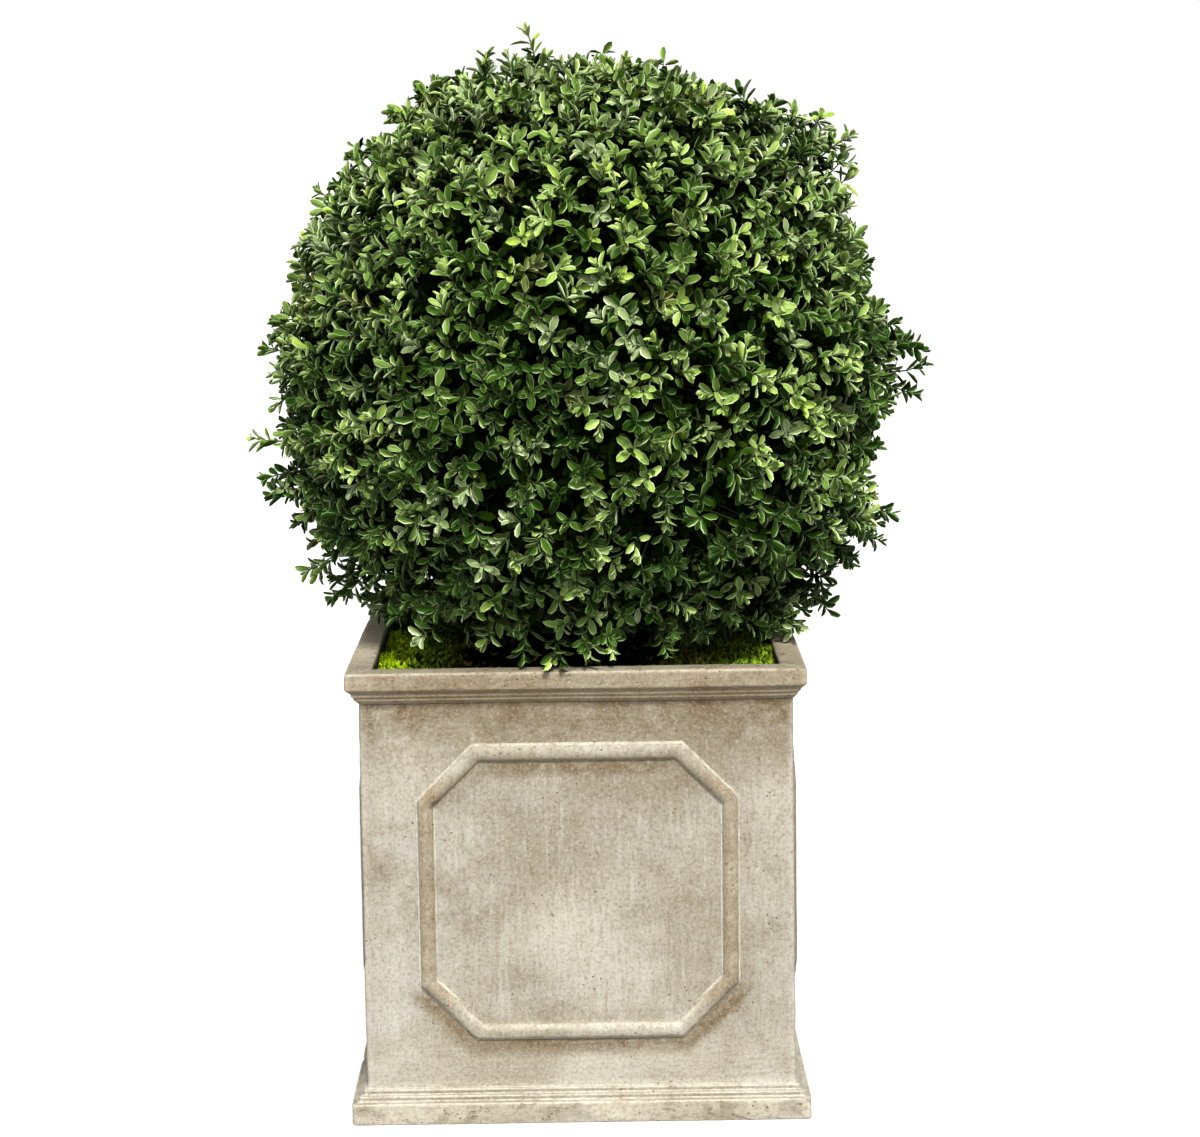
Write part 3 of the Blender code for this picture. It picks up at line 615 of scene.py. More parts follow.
def planter_profile(height, plinth_half):
    """Half-width and height from the cavity's floor over the rim to the underside."""
    fascia = height - FASCIA_HEIGHT
    cornice = height - CORNICE_HEIGHT
    fall = RIM_HALF - BODY_HALF_TOP
    drop = fascia - cornice
    arris_height = height - ARRIS
    points = straight((CAVITY_HALF_BOTTOM, CAVITY_FLOOR), (MOUTH_HALF, height - 0.06), 6)
    points += straight((MOUTH_HALF, height - 0.06), (MOUTH_HALF, arris_height), 10)
    points += arc(MOUTH_HALF + ARRIS, arris_height, ARRIS, 180, 90, 4)
    points += straight((MOUTH_HALF + ARRIS * 1.6, height), (RIM_HALF - ARRIS * 1.6, height), 7)
    points += arc(RIM_HALF - ARRIS, arris_height, ARRIS, 90, 0, 5)
    points += straight((RIM_HALF, height - ARRIS * 1.6), (RIM_HALF, fascia + 0.0010), 6)
    points += [(RIM_HALF - fall * inward, fascia - drop * down) for inward, down in CORNICE_SHARES]
    body_foot = (BODY_HALF_BOTTOM, PLINTH_HEIGHT + 2 * BEAD_HEIGHT + 0.0012)
    points += straight((BODY_HALF_TOP, cornice), body_foot, 56)
    points.append(body_foot)
    for bead in (1, 2):
        top = PLINTH_HEIGHT + (3 - bead) * BEAD_HEIGHT
        out = BODY_HALF_BOTTOM + (plinth_half - BODY_HALF_BOTTOM) * BEAD_SHARE * bead
        points.append((out - 0.0030, top + 0.0001))
        points += arc(out - 0.0014, top - 0.0014, 0.0014, 90, 0, 4)
        points.append((out - 0.0001, top - BEAD_HEIGHT * 0.60))
        points.append((out - 0.0004, top - BEAD_HEIGHT + 0.0007))
    points.append((plinth_half - 0.0034, PLINTH_HEIGHT + 0.0001))
    points += arc(plinth_half - 0.0017, PLINTH_HEIGHT - 0.0017, 0.0017, 90, 0, 4)
    points += straight((plinth_half, PLINTH_HEIGHT - 0.0040), (plinth_half, 0.0012), 7)
    points += arc(plinth_half - 0.0012, 0.0012, 0.0012, 0, -90, 3)
    return np.array(points)


def ring_shape():
    """Round a square of half-width one: place on it and direction of its side or corner."""
    flat = np.linspace(-1.0, 1.0, SIDE_CELLS + 1)
    turns = np.radians(np.linspace(0.0, 90.0, CORNER_STEPS + 1)[1:-1])
    place, lean = [], []
    for quarter in range(4):
        turn = math.radians(90.0 * quarter)
        spin = np.array(((math.cos(turn), -math.sin(turn)), (math.sin(turn), math.cos(turn))))
        place += [spin @ (1.0, share) for share in flat] + [spin @ (1.0, 1.0)] * len(turns)
        lean += [spin @ (1.0, 0.0)] * len(flat)
        lean += [spin @ (math.cos(angle), math.sin(angle)) for angle in turns]
    return np.array(place), np.array(lean)


def planter_shell(height, plinth_half):
    """Points, faces, rows and columns of the hollow planter."""
    profile = planter_profile(height, plinth_half)
    place, lean = ring_shape()
    rings = (profile[:, 0] - CORNER_ROUNDING)[:, None, None] * place + CORNER_ROUNDING * lean
    heights = np.broadcast_to(profile[:, 1][:, None, None], (*rings.shape[:2], 1))
    points = np.concatenate((rings, heights), axis=2).reshape(-1, 3)
    return points, grid_faces(len(profile), len(place), True)[:, ::-1], len(profile), len(place)


def moulding_profile():
    """Offset from the octagon's centre line and height above the face, from inside to outside."""
    flat = MOULDING_RADIUS + MOULDING_LEDGE
    foot = [(flat, -0.0010), (flat, 0.0005), (flat - 0.0003, 0.0008)]
    foot.append((MOULDING_RADIUS + 0.0001, 0.0008))
    angles = np.radians(np.linspace(172.0, 8.0, 13))
    top = [(MOULDING_RADIUS * math.cos(a), MOULDING_LIFT * math.sin(a) - 0.0004) for a in angles]
    return np.array([(-offset, lift) for offset, lift in foot] + top + foot[::-1])


def octagon_corners(offset):
    """Corners of the octagon moved outward by an offset, counter-clockwise from the right."""
    half = MOULDING_HALF_WIDTH + offset
    tall = MOULDING_HALF_HEIGHT + offset
    slope = MOULDING_HALF_WIDTH + MOULDING_HALF_HEIGHT - MOULDING_CHAMFER + offset * math.sqrt(2.0)
    up = slope - half
    across = slope - tall
    right = ((half, -up), (half, up), (across, tall), (-across, tall))
    return np.array(right + tuple((-x, -y) for x, y in right))


def moulding_ring():
    """One moulding's points (across, up, out of the face), its faces and its offsets."""
    profile = moulding_profile()
    middle = octagon_corners(0.0)
    runs = np.linalg.norm(np.roll(middle, -1, axis=0) - middle, axis=1)
    cells = [max(2, int(run / MOULDING_STEP)) for run in runs]
    columns = []
    for offset, lift in profile:
        corners = octagon_corners(offset)
        path = []
        for corner, (start, count) in enumerate(zip(corners, cells)):
            path += straight(start, corners[(corner + 1) % 8], count)
        columns.append(np.column_stack((np.array(path), np.full(len(path), lift))))
    points = np.array(columns)
    rows, around = points.shape[:2]
    return points.reshape(-1, 3), grid_faces(rows, around, True), np.repeat(profile[:, 0], around)


def body_half(heights):
    """Half-width of the body at a height."""
    share = np.clip((heights - PLINTH_HEIGHT) / (BODY_TOP - PLINTH_HEIGHT), 0.0, 1.0)
    return BODY_HALF_BOTTOM + (BODY_HALF_TOP - BODY_HALF_BOTTOM) * share


def vertex_normals(points, faces):
    """Unit normal of each point, from the faces round it."""
    corners = points[faces]
    cross = np.cross(corners[:, 1] - corners[:, 0], corners[:, 3] - corners[:, 0])
    total = np.zeros_like(points)
    for corner in range(4):
        np.add.at(total, faces[:, corner], cross)
    return unit(total)


def side_turns():
    """The four turns that bring the front to each side."""
    return [np.array(Matrix.Rotation(math.radians(90.0 * quarter), 3, "Z")) for quarter in range(4)]


def painted_spots(points, spots):
    """Sum of some spots, repeated on each of the four sides."""
    total = np.zeros(len(points))
    for turn in side_turns():
        for x, y, z, radius, tall, amount in spots:
            away = (points - turn @ (x, y, z)) @ turn / (radius, radius, radius * tall)
            total += amount * np.exp(-np.sum(away * away, axis=1))
    return total


def stain_and_shade_bands(points):
    """Stain and painted shade in broad bands: below the mouldings, under their top runs, weak beside
    them.
    """
    total = np.zeros(len(points))
    slope = MOULDING_HALF_WIDTH + MOULDING_HALF_HEIGHT - MOULDING_CHAMFER
    edge = MOULDING_RADIUS + STAIN_AND_SHADE_CENTRE
    up = points[:, 2] - MOULDING_CENTRE_HEIGHT
    for axis in (0, 1):
        across = np.abs(points[:, axis])
        beside = across - MOULDING_HALF_WIDTH
        level = np.abs(up) - MOULDING_HALF_HEIGHT
        slanted = (across + np.abs(up) - slope) / math.sqrt(2.0)
        on_top = blend(level - slanted, -0.010, 0.016) * (up > 0.0)
        level = np.maximum(level, slanted)
        away = np.maximum(beside, level)
        outer = np.exp(-(((away - edge) / STAIN_AND_SHADE_SPREAD) ** 4)) * (away > 0.0)
        inner = np.exp(-(((away + edge) / STAIN_AND_SHADE_SPREAD) ** 4)) * (away < 0.0)
        on_side = np.abs(points[:, 1 - axis]) > BODY_HALF_TOP - 0.004
        run = blend(level - beside, -0.006, 0.014)
        outer_stain_and_shade = outer * (0.68 * run * (up < 0.0) + 0.12 * blend(-up, -0.12, -0.02))
        weak = 0.12 * run * (up > 0.0) + 0.42 * on_top + 0.06 * blend(0.16 - np.abs(up), 0.0, 0.06)
        total += (outer_stain_and_shade + inner * weak) * on_side
    return total


def worn_shell(height, plinth_half):
    """The planter's shell with its worn edges: points, faces, rows, columns, dirt with painted shade,
    and worn places with painted light.
    """
    shell, faces, rows, columns = planter_shell(height, plinth_half)
    normals = vertex_normals(shell, faces)
    z, up = shell[:, 2], normals[:, 2]
    level = np.max(np.abs(shell[:, :2]), axis=1)
    corner = np.min(np.abs(shell[:, :2]), axis=1) / level
    outside = (level > MOUTH_HALF + 0.001) | (z > height - 0.001)
    arris = blend(corner, 0.972, 0.992) * outside
    facing = blend(up, 0.05, 0.5) * blend(np.abs(normals[:, :2]).max(axis=1), 0.10, 0.45)
    tops = [(height, 0.0035), (PLINTH_HEIGHT, 0.0022)]
    tops += [(PLINTH_HEIGHT + BEAD_HEIGHT * bead, 0.0016) for bead in (1, 2)]
    edge = np.zeros(len(shell))
    for top, span in tops:
        edge = np.maximum(edge, (1.0 - blend(np.abs(z - top), span * 0.5, span)) * facing)
    foot = (1.0 - blend(z, 0.0010, 0.0030)) * (level > MOUTH_HALF)
    rough = fractal_at(shell, 22.0, 3, 3.0)
    move = UNEVENNESS * fractal_at(shell, 7.0, 2) + ROUGHNESS_DEPTH * rough
    bite = np.maximum(noise_at(shell, 95.0, 9.0), 0.0)
    bite += 0.6 * np.maximum(noise_at(shell, 240.0, 2.0), 0.0)
    move -= EDGE_WEAR * bite * np.maximum(np.maximum(arris, edge), foot * 0.8)
    move[z < 0.0003] = 0.0
    shell = shell + normals * move[:, None]
    z = shell[:, 2]
    body_top = height - CORNICE_HEIGHT
    under = blend(-up, 0.10, 0.60) * (z > 0.3)
    cornice = blend(z, 0.335, body_top) * (z < body_top + 0.001)
    slot = (z > body_top) & (z < height - FASCIA_HEIGHT)
    plinth_low = (z < PLINTH_HEIGHT + 2 * BEAD_HEIGHT) & (up < 0.5) & (z > PLINTH_HEIGHT)
    inside = (level < MOUTH_HALF + 0.0008) & (z < height - 0.001)
    fascia = (z >= height - FASCIA_HEIGHT) & outside
    # Darker: undersides high up, the cornice's recesses and the inner walls as painted shade; the body
    # towards the cornice partly painted shade, partly brown stain; the plinth's steps darker; the
    # fascia browner
    grime_and_shade = 0.20 * under + 0.76 * cornice * outside + 0.06 * slot + 0.20 * plinth_low
    grime_and_shade += 0.35 * inside + 0.30 * fascia * (up < 0.5)
    top_face = (up > 0.8) & (z > height - 0.004)
    # Worn arrises, top edges and foot; a little painted light on the rim tops in the ball's shade
    wear_and_painted_light = (0.95 - 0.50 * fascia) * edge + 0.55 * arris + 0.5 * foot + 0.10 * top_face
    return shell, faces, rows, columns, grime_and_shade, wear_and_painted_light


def build_mouldings(start):
    """The four mouldings: points, faces numbered from a start, dirt with painted shade, worn places
    with painted light, and warmth.
    """
    ring, ring_faces, offset = moulding_ring()
    heights = MOULDING_CENTRE_HEIGHT + ring[:, 1]
    points, faces = [], []
    for quarter, turn in enumerate(side_turns()):
        wobble = noise_at(ring + quarter * 3.1, 30.0) * 0.0003
        wobble += noise_at(ring + quarter * 1.7, 130.0) * 0.0002
        lift = ring[:, 2] + wobble * (ring[:, 2] > 0.002)
        front = np.column_stack((ring[:, 0], -(body_half(heights) + lift), heights))
        points.append(front @ turn.T)
        faces.append(ring_faces + start + quarter * len(ring))
    outward = unit(ring[:, :2] - np.clip(ring[:, :2], -MOULDING_CORE, MOULDING_CORE))
    upward = offset / MOULDING_RADIUS * outward[:, 1]
    upright = 1.0 - blend(np.abs(outward[:, 1]), 0.2, 0.9)
    level = 1.0 - upright
    lower = blend(-upward, -0.15, 0.75) * level
    upper = blend(upward, 0.05, 0.7)
    ledge = np.abs(offset) > MOULDING_RADIUS - 0.0012
    flank = upright * (~ledge)
    below = heights < MOULDING_CENTRE_HEIGHT
    # Painted shade: a thin darkening on the lower sides and ledges of the upper runs
    grime_and_shade = 0.08 * (~below) * (lower + ledge * level * (1.0 - 0.6 * upper))
    # Brown flanks; each side's right-hand run is made lighter as painted light
    grime_and_shade += (0.35 - 0.13 * (ring[:, 0] > 0)) * flank
    wear_and_painted_light = 0.62 * upper * (~ledge) * (1.0 - 0.75 * blend(heights, 0.20, 0.34))
    wear_and_painted_light += 0.95 * ledge * (upright + upper * level * (~below))
    # Painted light: the shaded lower sides of the level runs are lightened
    wear_and_painted_light += lower * np.where(below, 1.0, 0.45)
    # Painted warm light on those lower sides; the flanks take a warmer tone
    warm = lower * np.where(below, 0.50, 0.90) + 0.50 * flank
    return points, faces, [np.tile(values, 4) for values in (grime_and_shade, wear_and_painted_light, warm)]


def build_planter(height, plinth_half):
    """The cast planter with its relief, worn places and dirt, and painted light and shade."""
    shell, shell_faces, rows, columns, *shell_paints = worn_shell(height, plinth_half)
    rings, ring_faces, ring_paints = build_mouldings(len(shell))
    points = np.concatenate((shell, *rings))
    faces = np.concatenate((shell_faces, *ring_faces))
    shell_paints.append(np.zeros(len(shell)))
    grime_and_shade, wear_and_painted_light, lower = (np.concatenate(pair) for pair in zip(shell_paints, ring_paints))
    normals = vertex_normals(points, faces)
    for x, y, z, radius, depth in CHIPS:
        near = np.exp(-((np.linalg.norm(points - (x, y, z), axis=1) / radius) ** 2))
        points -= normals * (near * depth)[:, None]
        grime_and_shade += 0.35 * near
    z = points[:, 2]
    body_top, fascia = height - CORNICE_HEIGHT, height - FASCIA_HEIGHT
    on_body = (z > PLINTH_HEIGHT) & (z < body_top)
    on_shell = np.arange(len(points)) < len(shell)
    block = z < PLINTH_HEIGHT
    high_up = blend(z, 0.355, 0.415)
    blotches = fractal_at(points, 38.0, 3, 4.0)
    # Stains, and the bands of stain and painted shade round the mouldings on the body
    grime_and_shade += painted_spots(points, GRIME_SPOTS) + stain_and_shade_bands(points) * on_body * on_shell
    grime_and_shade += block * 0.14 * blend(blotches, 0.10, 0.55)
    grime_and_shade += (0.12 + 0.10 * high_up) * on_body * blend(blotches, 0.10, 0.70)
    grime_and_shade -= 0.14 * high_up * on_body * blend(-blotches, 0.0, 0.6)
    pale = painted_spots(points, PALE_SPOTS) + block * 0.50 * (1.0 - blend(blotches, 0.0, 0.4))
    # Painted light: the rim tops behind the front strip, in the ball's shade, are lightened
    pale += 0.90 * (z > height - 0.004) * blend(points[:, 1], -0.20, -0.12)
    # Warm cast: painted warm bounce light under the cornice, a warmer tone on the fascia, rim and
    # plinth, and the mouldings' own
    warm = blend(z, body_top - 0.002, body_top + 0.002)
    warm *= 0.95 - 0.45 * blend(z, fascia, fascia + 0.004)
    warm += 0.20 * block + lower
    past_moulding = np.abs(z - MOULDING_CENTRE_HEIGHT) - MOULDING_HALF_HEIGHT
    sunk = np.max(np.abs(points[:, :2]), axis=1) < MOUTH_HALF + 0.0012
    paints = {
        "grime_and_shade": grime_and_shade,
        "wear_and_painted_light": wear_and_painted_light,
        "pale": pale,
        "pitting": 1.0 * (z > fascia) + 0.8 * block,
        "warm": warm,
        "level_strokes": blend(past_moulding, 0.004, 0.018),
        # Painted shade: near-black on the inner walls just below the rim
        "painted_wall_shade": 0.95 * sunk * blend(height - z, 0.002, 0.006),
    }
    paints = {name: np.clip(values, 0.0, 1.0) for name, values in paints.items()}
    parts = (points, faces, [stone_finish()])
    item = add_piece("cast_planter", "planter", "cast_stone", *parts, paints=paints)
    close_ends(item.data, rows, columns)


def close_ends(mesh, rows, columns):
    """Close the cavity's floor and the underside with one face each."""
    form = bmesh.new()
    form.from_mesh(mesh)
    form.verts.ensure_lookup_table()
    first = [form.verts[index] for index in range(columns)]
    last = [form.verts[index] for index in range((rows - 1) * columns, rows * columns)]
    form.faces.new(first)
    form.faces.new(last[::-1])
    form.to_mesh(mesh)
    form.free()


# ---- Moss, filling and stem ----


def finish_filling(item):
    """Dark crumbly filling under the moss."""
    soil = Finish("potting_filling", (0.06, 0.045, 0.03), 0.95, 0.2)
    crumbs = soil.noise(140.0, 4.0, 0.7)
    dark, light = (0.030, 0.022, 0.015), (0.10, 0.075, 0.05)
    soil.surface("Base Color", soil.mix(soil.ramp(crumbs, 0.35, 0.65), dark, light))
    soil.bump(crumbs, 0.002)
    item.data.materials.clear()
    item.data.materials.append(soil.material)


def moss_height(x, y):
    """Height of the moss: the solid's cushions and its mounds at both sides and the back right."""
    cushions = np.sin(x * 61.0 + 1.3) * np.cos(y * 53.0 - 0.4)
    cushions += 0.6 * np.sin(x * 97.0 + y * 71.0 + 2.1)
    back = MOSS_MOUND * blend(x, 0.05, 0.17) * blend(y, -0.19, 0.02)
    right = RIGHT_MOUND * blend(x, 0.145, 0.195)
    left = LEFT_MOUND * blend(-x, 0.13, 0.18)
    return MOSS_TOP + MOSS_LUMP * 0.5 * cushions + np.maximum(back, right) + left


def moss_patches(x, y):
    """Noise over the bed, which both its lumps and its colours follow."""
    return fractal_at(np.column_stack((x, y, np.zeros(len(x)))), 75.0, 2, 6.0)


def moss_surface(x, y, sunk):
    """Points on the lumpy bed, sunk a little."""
    lump = moss_patches(x, y) * MOSS_CUSHION
    return np.column_stack((x, y, moss_height(x, y) + lump - sunk))


def moss_under_ball_shade(x):
    """1 under the middle of the ball, where the skin is painted near-black as shade and tufts are few,
    and 0 at the sides.
    """
    return blend(x, -0.150, -0.112) * (1.0 - blend(x, 0.060, 0.130))


def moss_fresh(x, y):
    """1 in the bright corner at the front left, lighter partly in its own colour and partly as painted
    light.
    """
    return (1.0 - blend(x, -0.184, -0.156)) * (1.0 - blend(y, 0.00, 0.05))


def moss_kind(x, y, chance):
    """The row of TUFT_TINTS: bright at the left, green at the right, in patches, with shaded tufts as
    painted shade.
    """
    patch = moss_patches(x, y) + chance.normal(0.0, 0.12, len(x))
    left = moss_fresh(x, y)
    bright = 0.80 * left + 0.10 * blend(x, 0.13, 0.17) * blend(patch, -0.2, 0.3)
    brown = 0.60 * blend(0.155 - np.abs(x), 0.0, 0.04) + 0.10
    # Painted shade: dark tufts in the hollows and towards the back under the foliage, fewer in the
    # bright corner and at the far right
    shaded = (0.25 + 0.75 * blend(-patch, 0.02, 0.30)) * (1.0 - 0.75 * left)
    shaded *= 0.6 + 0.4 * blend(0.185 - x, 0.0, 0.04)
    shaded = np.maximum(shaded, blend(y - 0.1 * (x > 0), 0.00, 0.06))
    draw = chance.random(len(x))
    kind = np.where(draw < bright, 0, np.where(draw < bright + (1.0 - bright) * brown, 2, 1))
    return np.where(chance.random(len(x)) < shaded * 0.8, 3, kind)


def build_moss(half, chance):
    """The bed of moss: a lumpy skin and tufts of four colours."""
    line = np.linspace(-half, half, MOSS_CELLS + 1)
    x, y = (values.ravel() for values in np.meshgrid(line, line))
    skin = Finish("moss_skin", (0.045, 0.055, 0.012), 1.0, 0.1)
    patches = skin.ramp(skin.noise(90.0, 4.0), 0.4, 0.6)
    color = skin.mix(patches, (0.040, 0.038, 0.010), (0.150, 0.190, 0.015))
    # The bright corner: partly the moss's own lighter colour, partly painted light
    color = skin.mix(skin.attribute("fresh"), color, (0.340, 0.430, 0.018))
    # Painted shade: the skin under the middle of the ball is near-black
    skin.surface("Base Color", skin.mix(skin.attribute("under_ball_shade"), color, (0.012, 0.011, 0.007)))
    skin.bump(skin.noise(500.0, 3.0), 0.001)
    faces = grid_faces(MOSS_CELLS + 1, MOSS_CELLS + 1, False)
    paints = {"under_ball_shade": moss_under_ball_shade(x), "fresh": moss_fresh(x, y)}
    parts = (moss_surface(x, y, 0.002), faces, [skin.material])
    add_piece("moss_skin", "moss_bed", "moss", *parts, paints=paints)
    x = chance.uniform(-half, half, TUFT_COUNT * 4)
    y = chance.uniform(-half, half, TUFT_COUNT * 4)
    rim = half - np.maximum(np.abs(x), np.abs(y))
    dense = (1.0 - 0.85 * blend(rim, 0.06, 0.11)) * (1.0 - 0.9 * moss_under_ball_shade(x))
    keep = chance.random(len(x)) < dense
    x, y = x[keep][:TUFT_COUNT], y[keep][:TUFT_COUNT]
    base = moss_surface(x, y, 0.003)
    kinds = moss_kind(x, y, chance)
    for kind, (name, color) in enumerate(TUFT_TINTS):
        tufts = moss_tufts(base[kinds == kind], chance, half)
        material = plain_finish("moss_" + name, color, 0.9, 0.15)
        add_piece("moss_tufts_" + name, "moss_bed", "moss", *tufts, [material])


def moss_tufts(roots, chance, half):
    """Short curved blades at each root."""
    count = len(roots) * TUFT_BLADES
    root = np.repeat(roots, TUFT_BLADES, axis=0)
    root = root + chance.normal(0.0, 0.0010, (count, 3)) * (1, 1, 0)
    lean = [chance.normal(0.0, 0.75, count) for _ in range(2)]
    lean = np.column_stack((*lean, np.ones(count)))
    length = TUFT_LENGTH * chance.uniform(0.55, 1.15, count)
    tip = root + unit(lean) * length[:, None]
    for ends in (root, tip):
        ends[:, :2] = np.clip(ends[:, :2], -half, half)
    around = chance.uniform(0.0, math.tau, count)
    side = np.column_stack((np.cos(around), np.sin(around), np.zeros(count))) * TUFT_WIDTH
    middle = (root * 0.4 + tip * 0.6) + unit(tip - root)[:, [1, 2, 0]] * 0.0006
    foot = side * 0.7
    points = np.stack((root - foot, root + foot, middle - side, middle + side, tip), axis=1)
    faces = np.array(((0, 1, 3), (0, 3, 2), (2, 3, 4)))
    return points.reshape(-1, 3), repeated(faces, count, 5)


def build_stem(low, high):
    """The short natural stem, with ridged bark, flared at its foot."""
    rings = []
    angles = math.tau * np.arange(STEM_SIDES) / STEM_SIDES
    cosine, sine = np.cos(angles), np.sin(angles)
    for ring in range(STEM_RINGS + 1):
        share = ring / STEM_RINGS
        height = low + (high - low) * share
        radius = STEM_RADIUS - STEM_TAPER * share + STEM_FLARE * (1.0 - share) ** 7
        place = np.column_stack((cosine, sine, np.full(STEM_SIDES, height * 0.35)))
        form = (1.0, 2.0, 3, 1.0, 2.0)
        ridge = [noise.ridged_multi_fractal(Vector(item) * 2.6, *form) for item in place]
        reach = radius * (1.0 + 0.03 * np.cos(5.0 * angles + 0.6)) - 0.0009 * np.array(ridge)
        x = CROWN_CENTRE[0] + cosine * reach
        y = CROWN_CENTRE[1] + STEM_LEAN * share * share + sine * reach
        rings.append(np.column_stack((x, y, np.full(STEM_SIDES, height))))
    bark = Finish("stem_bark", (0.17, 0.13, 0.09), 0.9, 0.2)
    grain = bark.noise(60.0, 5.0, 0.65, 0.8, stretch=(1.0, 1.0, 0.18))
    dark, light = (0.030, 0.023, 0.016), (0.110, 0.085, 0.060)
    bark.surface("Base Color", bark.mix(bark.ramp(grain, 0.35, 0.65), dark, light))
    bark.bump(grain, 0.0012)
    faces = grid_faces(STEM_RINGS + 1, STEM_SIDES, True)
    parts = (np.concatenate(rings), faces, [bark.material])
    add_piece("stem_with_bark", "main_stem", "stem_bark", *parts)


# ---- Crown ----


def direction_of(azimuth, elevation):
    """Unit vector for an azimuth and an elevation in degrees."""
    around, up = math.radians(azimuth), math.radians(elevation)
    flat = math.cos(up)
    return np.array((math.cos(around) * flat, math.sin(around) * flat, math.sin(up)))


def crown_radius(aims):
    """Reach of the clipped outline along unit vectors, as the solid has it."""
    level = np.hypot(aims[:, 0], aims[:, 1])
    tall = np.where(aims[:, 2] > 0, CROWN_UP, CROWN_DOWN)
    foot = blend(-aims[:, 2], 0.0, 0.45)
    power = CROWN_ROUND_POWER + (CROWN_FOOT_POWER - CROWN_ROUND_POWER) * foot
    total = (level / CROWN_HALF_WIDTH) ** power + (np.abs(aims[:, 2]) / tall) ** power
    reach = total ** (-1.0 / power)
    for azimuth, elevation, height, spread in CROWN_BULGES:
        angle = np.degrees(np.arccos(np.clip(aims @ direction_of(azimuth, elevation), -1.0, 1.0)))
        reach += height * np.exp(-((angle / spread) ** 2))
    return reach


def out_from_centre(aims, reach):
    """Points at a reach from the crown's centre."""
    return CROWN_CENTRE + aims * reach[:, None]


def even_directions(count):
    """Directions spread evenly over a sphere, by the golden angle."""
    index = np.arange(count)
    turn = math.pi * (3.0 - math.sqrt(5.0)) * index
    height = 1.0 - 2.0 * (index + 0.5) / count
    ring = np.sqrt(1.0 - height * height)
    return np.column_stack((ring * np.cos(turn), ring * np.sin(turn), height))


def leaf_template():
    """Detailed leaf: across, along, lift and its triangles, with the pale margin's strips."""
    rows, half = (0.20, 0.56, 0.87), np.array((0.50, 1.00, 0.76))
    share = (-1.0, -0.73, 0.0, 0.73, 1.0)
    lift = (0.260, 0.110, -0.100, 0.110, 0.260)
    across = np.concatenate(([0.0], np.outer(0.5 * half, share).ravel(), [0.0]))
    along = np.concatenate(([0.0], np.repeat(rows, 5), [1.0]))
    raised = np.concatenate(([0.0], np.outer(half, lift).ravel(), [0.0]))
    faces = []
    last = len(across) - 1
    for strip in range(4):
        faces.append((0, strip + 2, strip + 1))
        for a in (1 + strip, 6 + strip):
            faces += [(a, a + 1, a + 6), (a, a + 6, a + 5)]
        faces.append((last - 5 + strip, last - 4 + strip, last))
    margin = np.repeat((True, False, False, True), len(faces) // 4)
    return across, along, raised, np.array(faces), margin


def plain_leaf_template():
    """Leaf of eight triangles, for what lies deeper."""
    across = np.array((0.0, -0.43, 0.0, 0.43, -0.46, 0.0, 0.46, 0.0))
    along = np.array((0.0, 0.36, 0.36, 0.36, 0.78, 0.78, 0.78, 1.0))
    raised = np.array((0.0, 0.08, -0.03, 0.08, 0.09, -0.03, 0.09, 0.0))
    faces = ((0, 2, 1), (0, 3, 2), (1, 2, 5), (1, 5, 4), (2, 3, 6), (2, 6, 5), (4, 5, 7), (5, 6, 7))
    return across, along, raised, np.array(faces), np.zeros(8, bool)


def leaf_points(template, leaves):
    """Points of every leaf, each bent along its length."""
    across, along, raised = template[:3]
    grow, face = leaves["grow"], leaves["face"]
    side = np.cross(grow, face)
    length, width, bend = leaves["length"], leaves["width"], leaves["bend"]
    x = across[None] * width[:, None]
    y = along[None] * length[:, None]
    z = raised[None] * width[:, None] + bend[:, None] * (along**2)[None] * length[:, None]
    return (leaves["root"][:, None] + x[..., None] * side[:, None] + y[..., None] * grow[:, None]
            + z[..., None] * face[:, None])


def curve_at(roots, bends, tips, share):
    """Point and unit tangent of each sprig's curve at a share of its length."""
    rest = 1.0 - share
    place = (rest * rest)[:, None] * roots + (2 * rest * share)[:, None] * bends
    place += (share * share)[:, None] * tips
    heading = rest[:, None] * (bends - roots) + share[:, None] * (tips - bends)
    return place, unit(heading)


def square_to(heading):
    """Two unit vectors square to each heading."""
    first = unit(np.cross(heading, np.array((0.31, 0.22, 0.92))))
    return first, np.cross(heading, first)


def sprig_curves(aims, tips, twig_aims, chance, sway, droop):
    """Root, bend and tip of each sprig: it forks from the nearest main twig."""
    mother = twig_aims[np.argmax(aims @ twig_aims.T, axis=1)]
    inward = unit(aims * 0.55 + mother * 0.45)
    reach = np.linalg.norm(tips - CROWN_CENTRE, axis=1)
    roots = out_from_centre(inward, reach - SPRIG_ROOT_DEPTH)
    stray = chance.normal(0.0, 1.0, aims.shape) * np.asarray(sway)[..., None]
    heading = unit(aims * (1.0, 1.0, 0.55) + stray + UP * droop[:, None])
    span = np.linalg.norm(tips - roots, axis=1)
    bends = tips - heading * (span * BEND_SHARE)[:, None]
    return roots, bends, tips, span


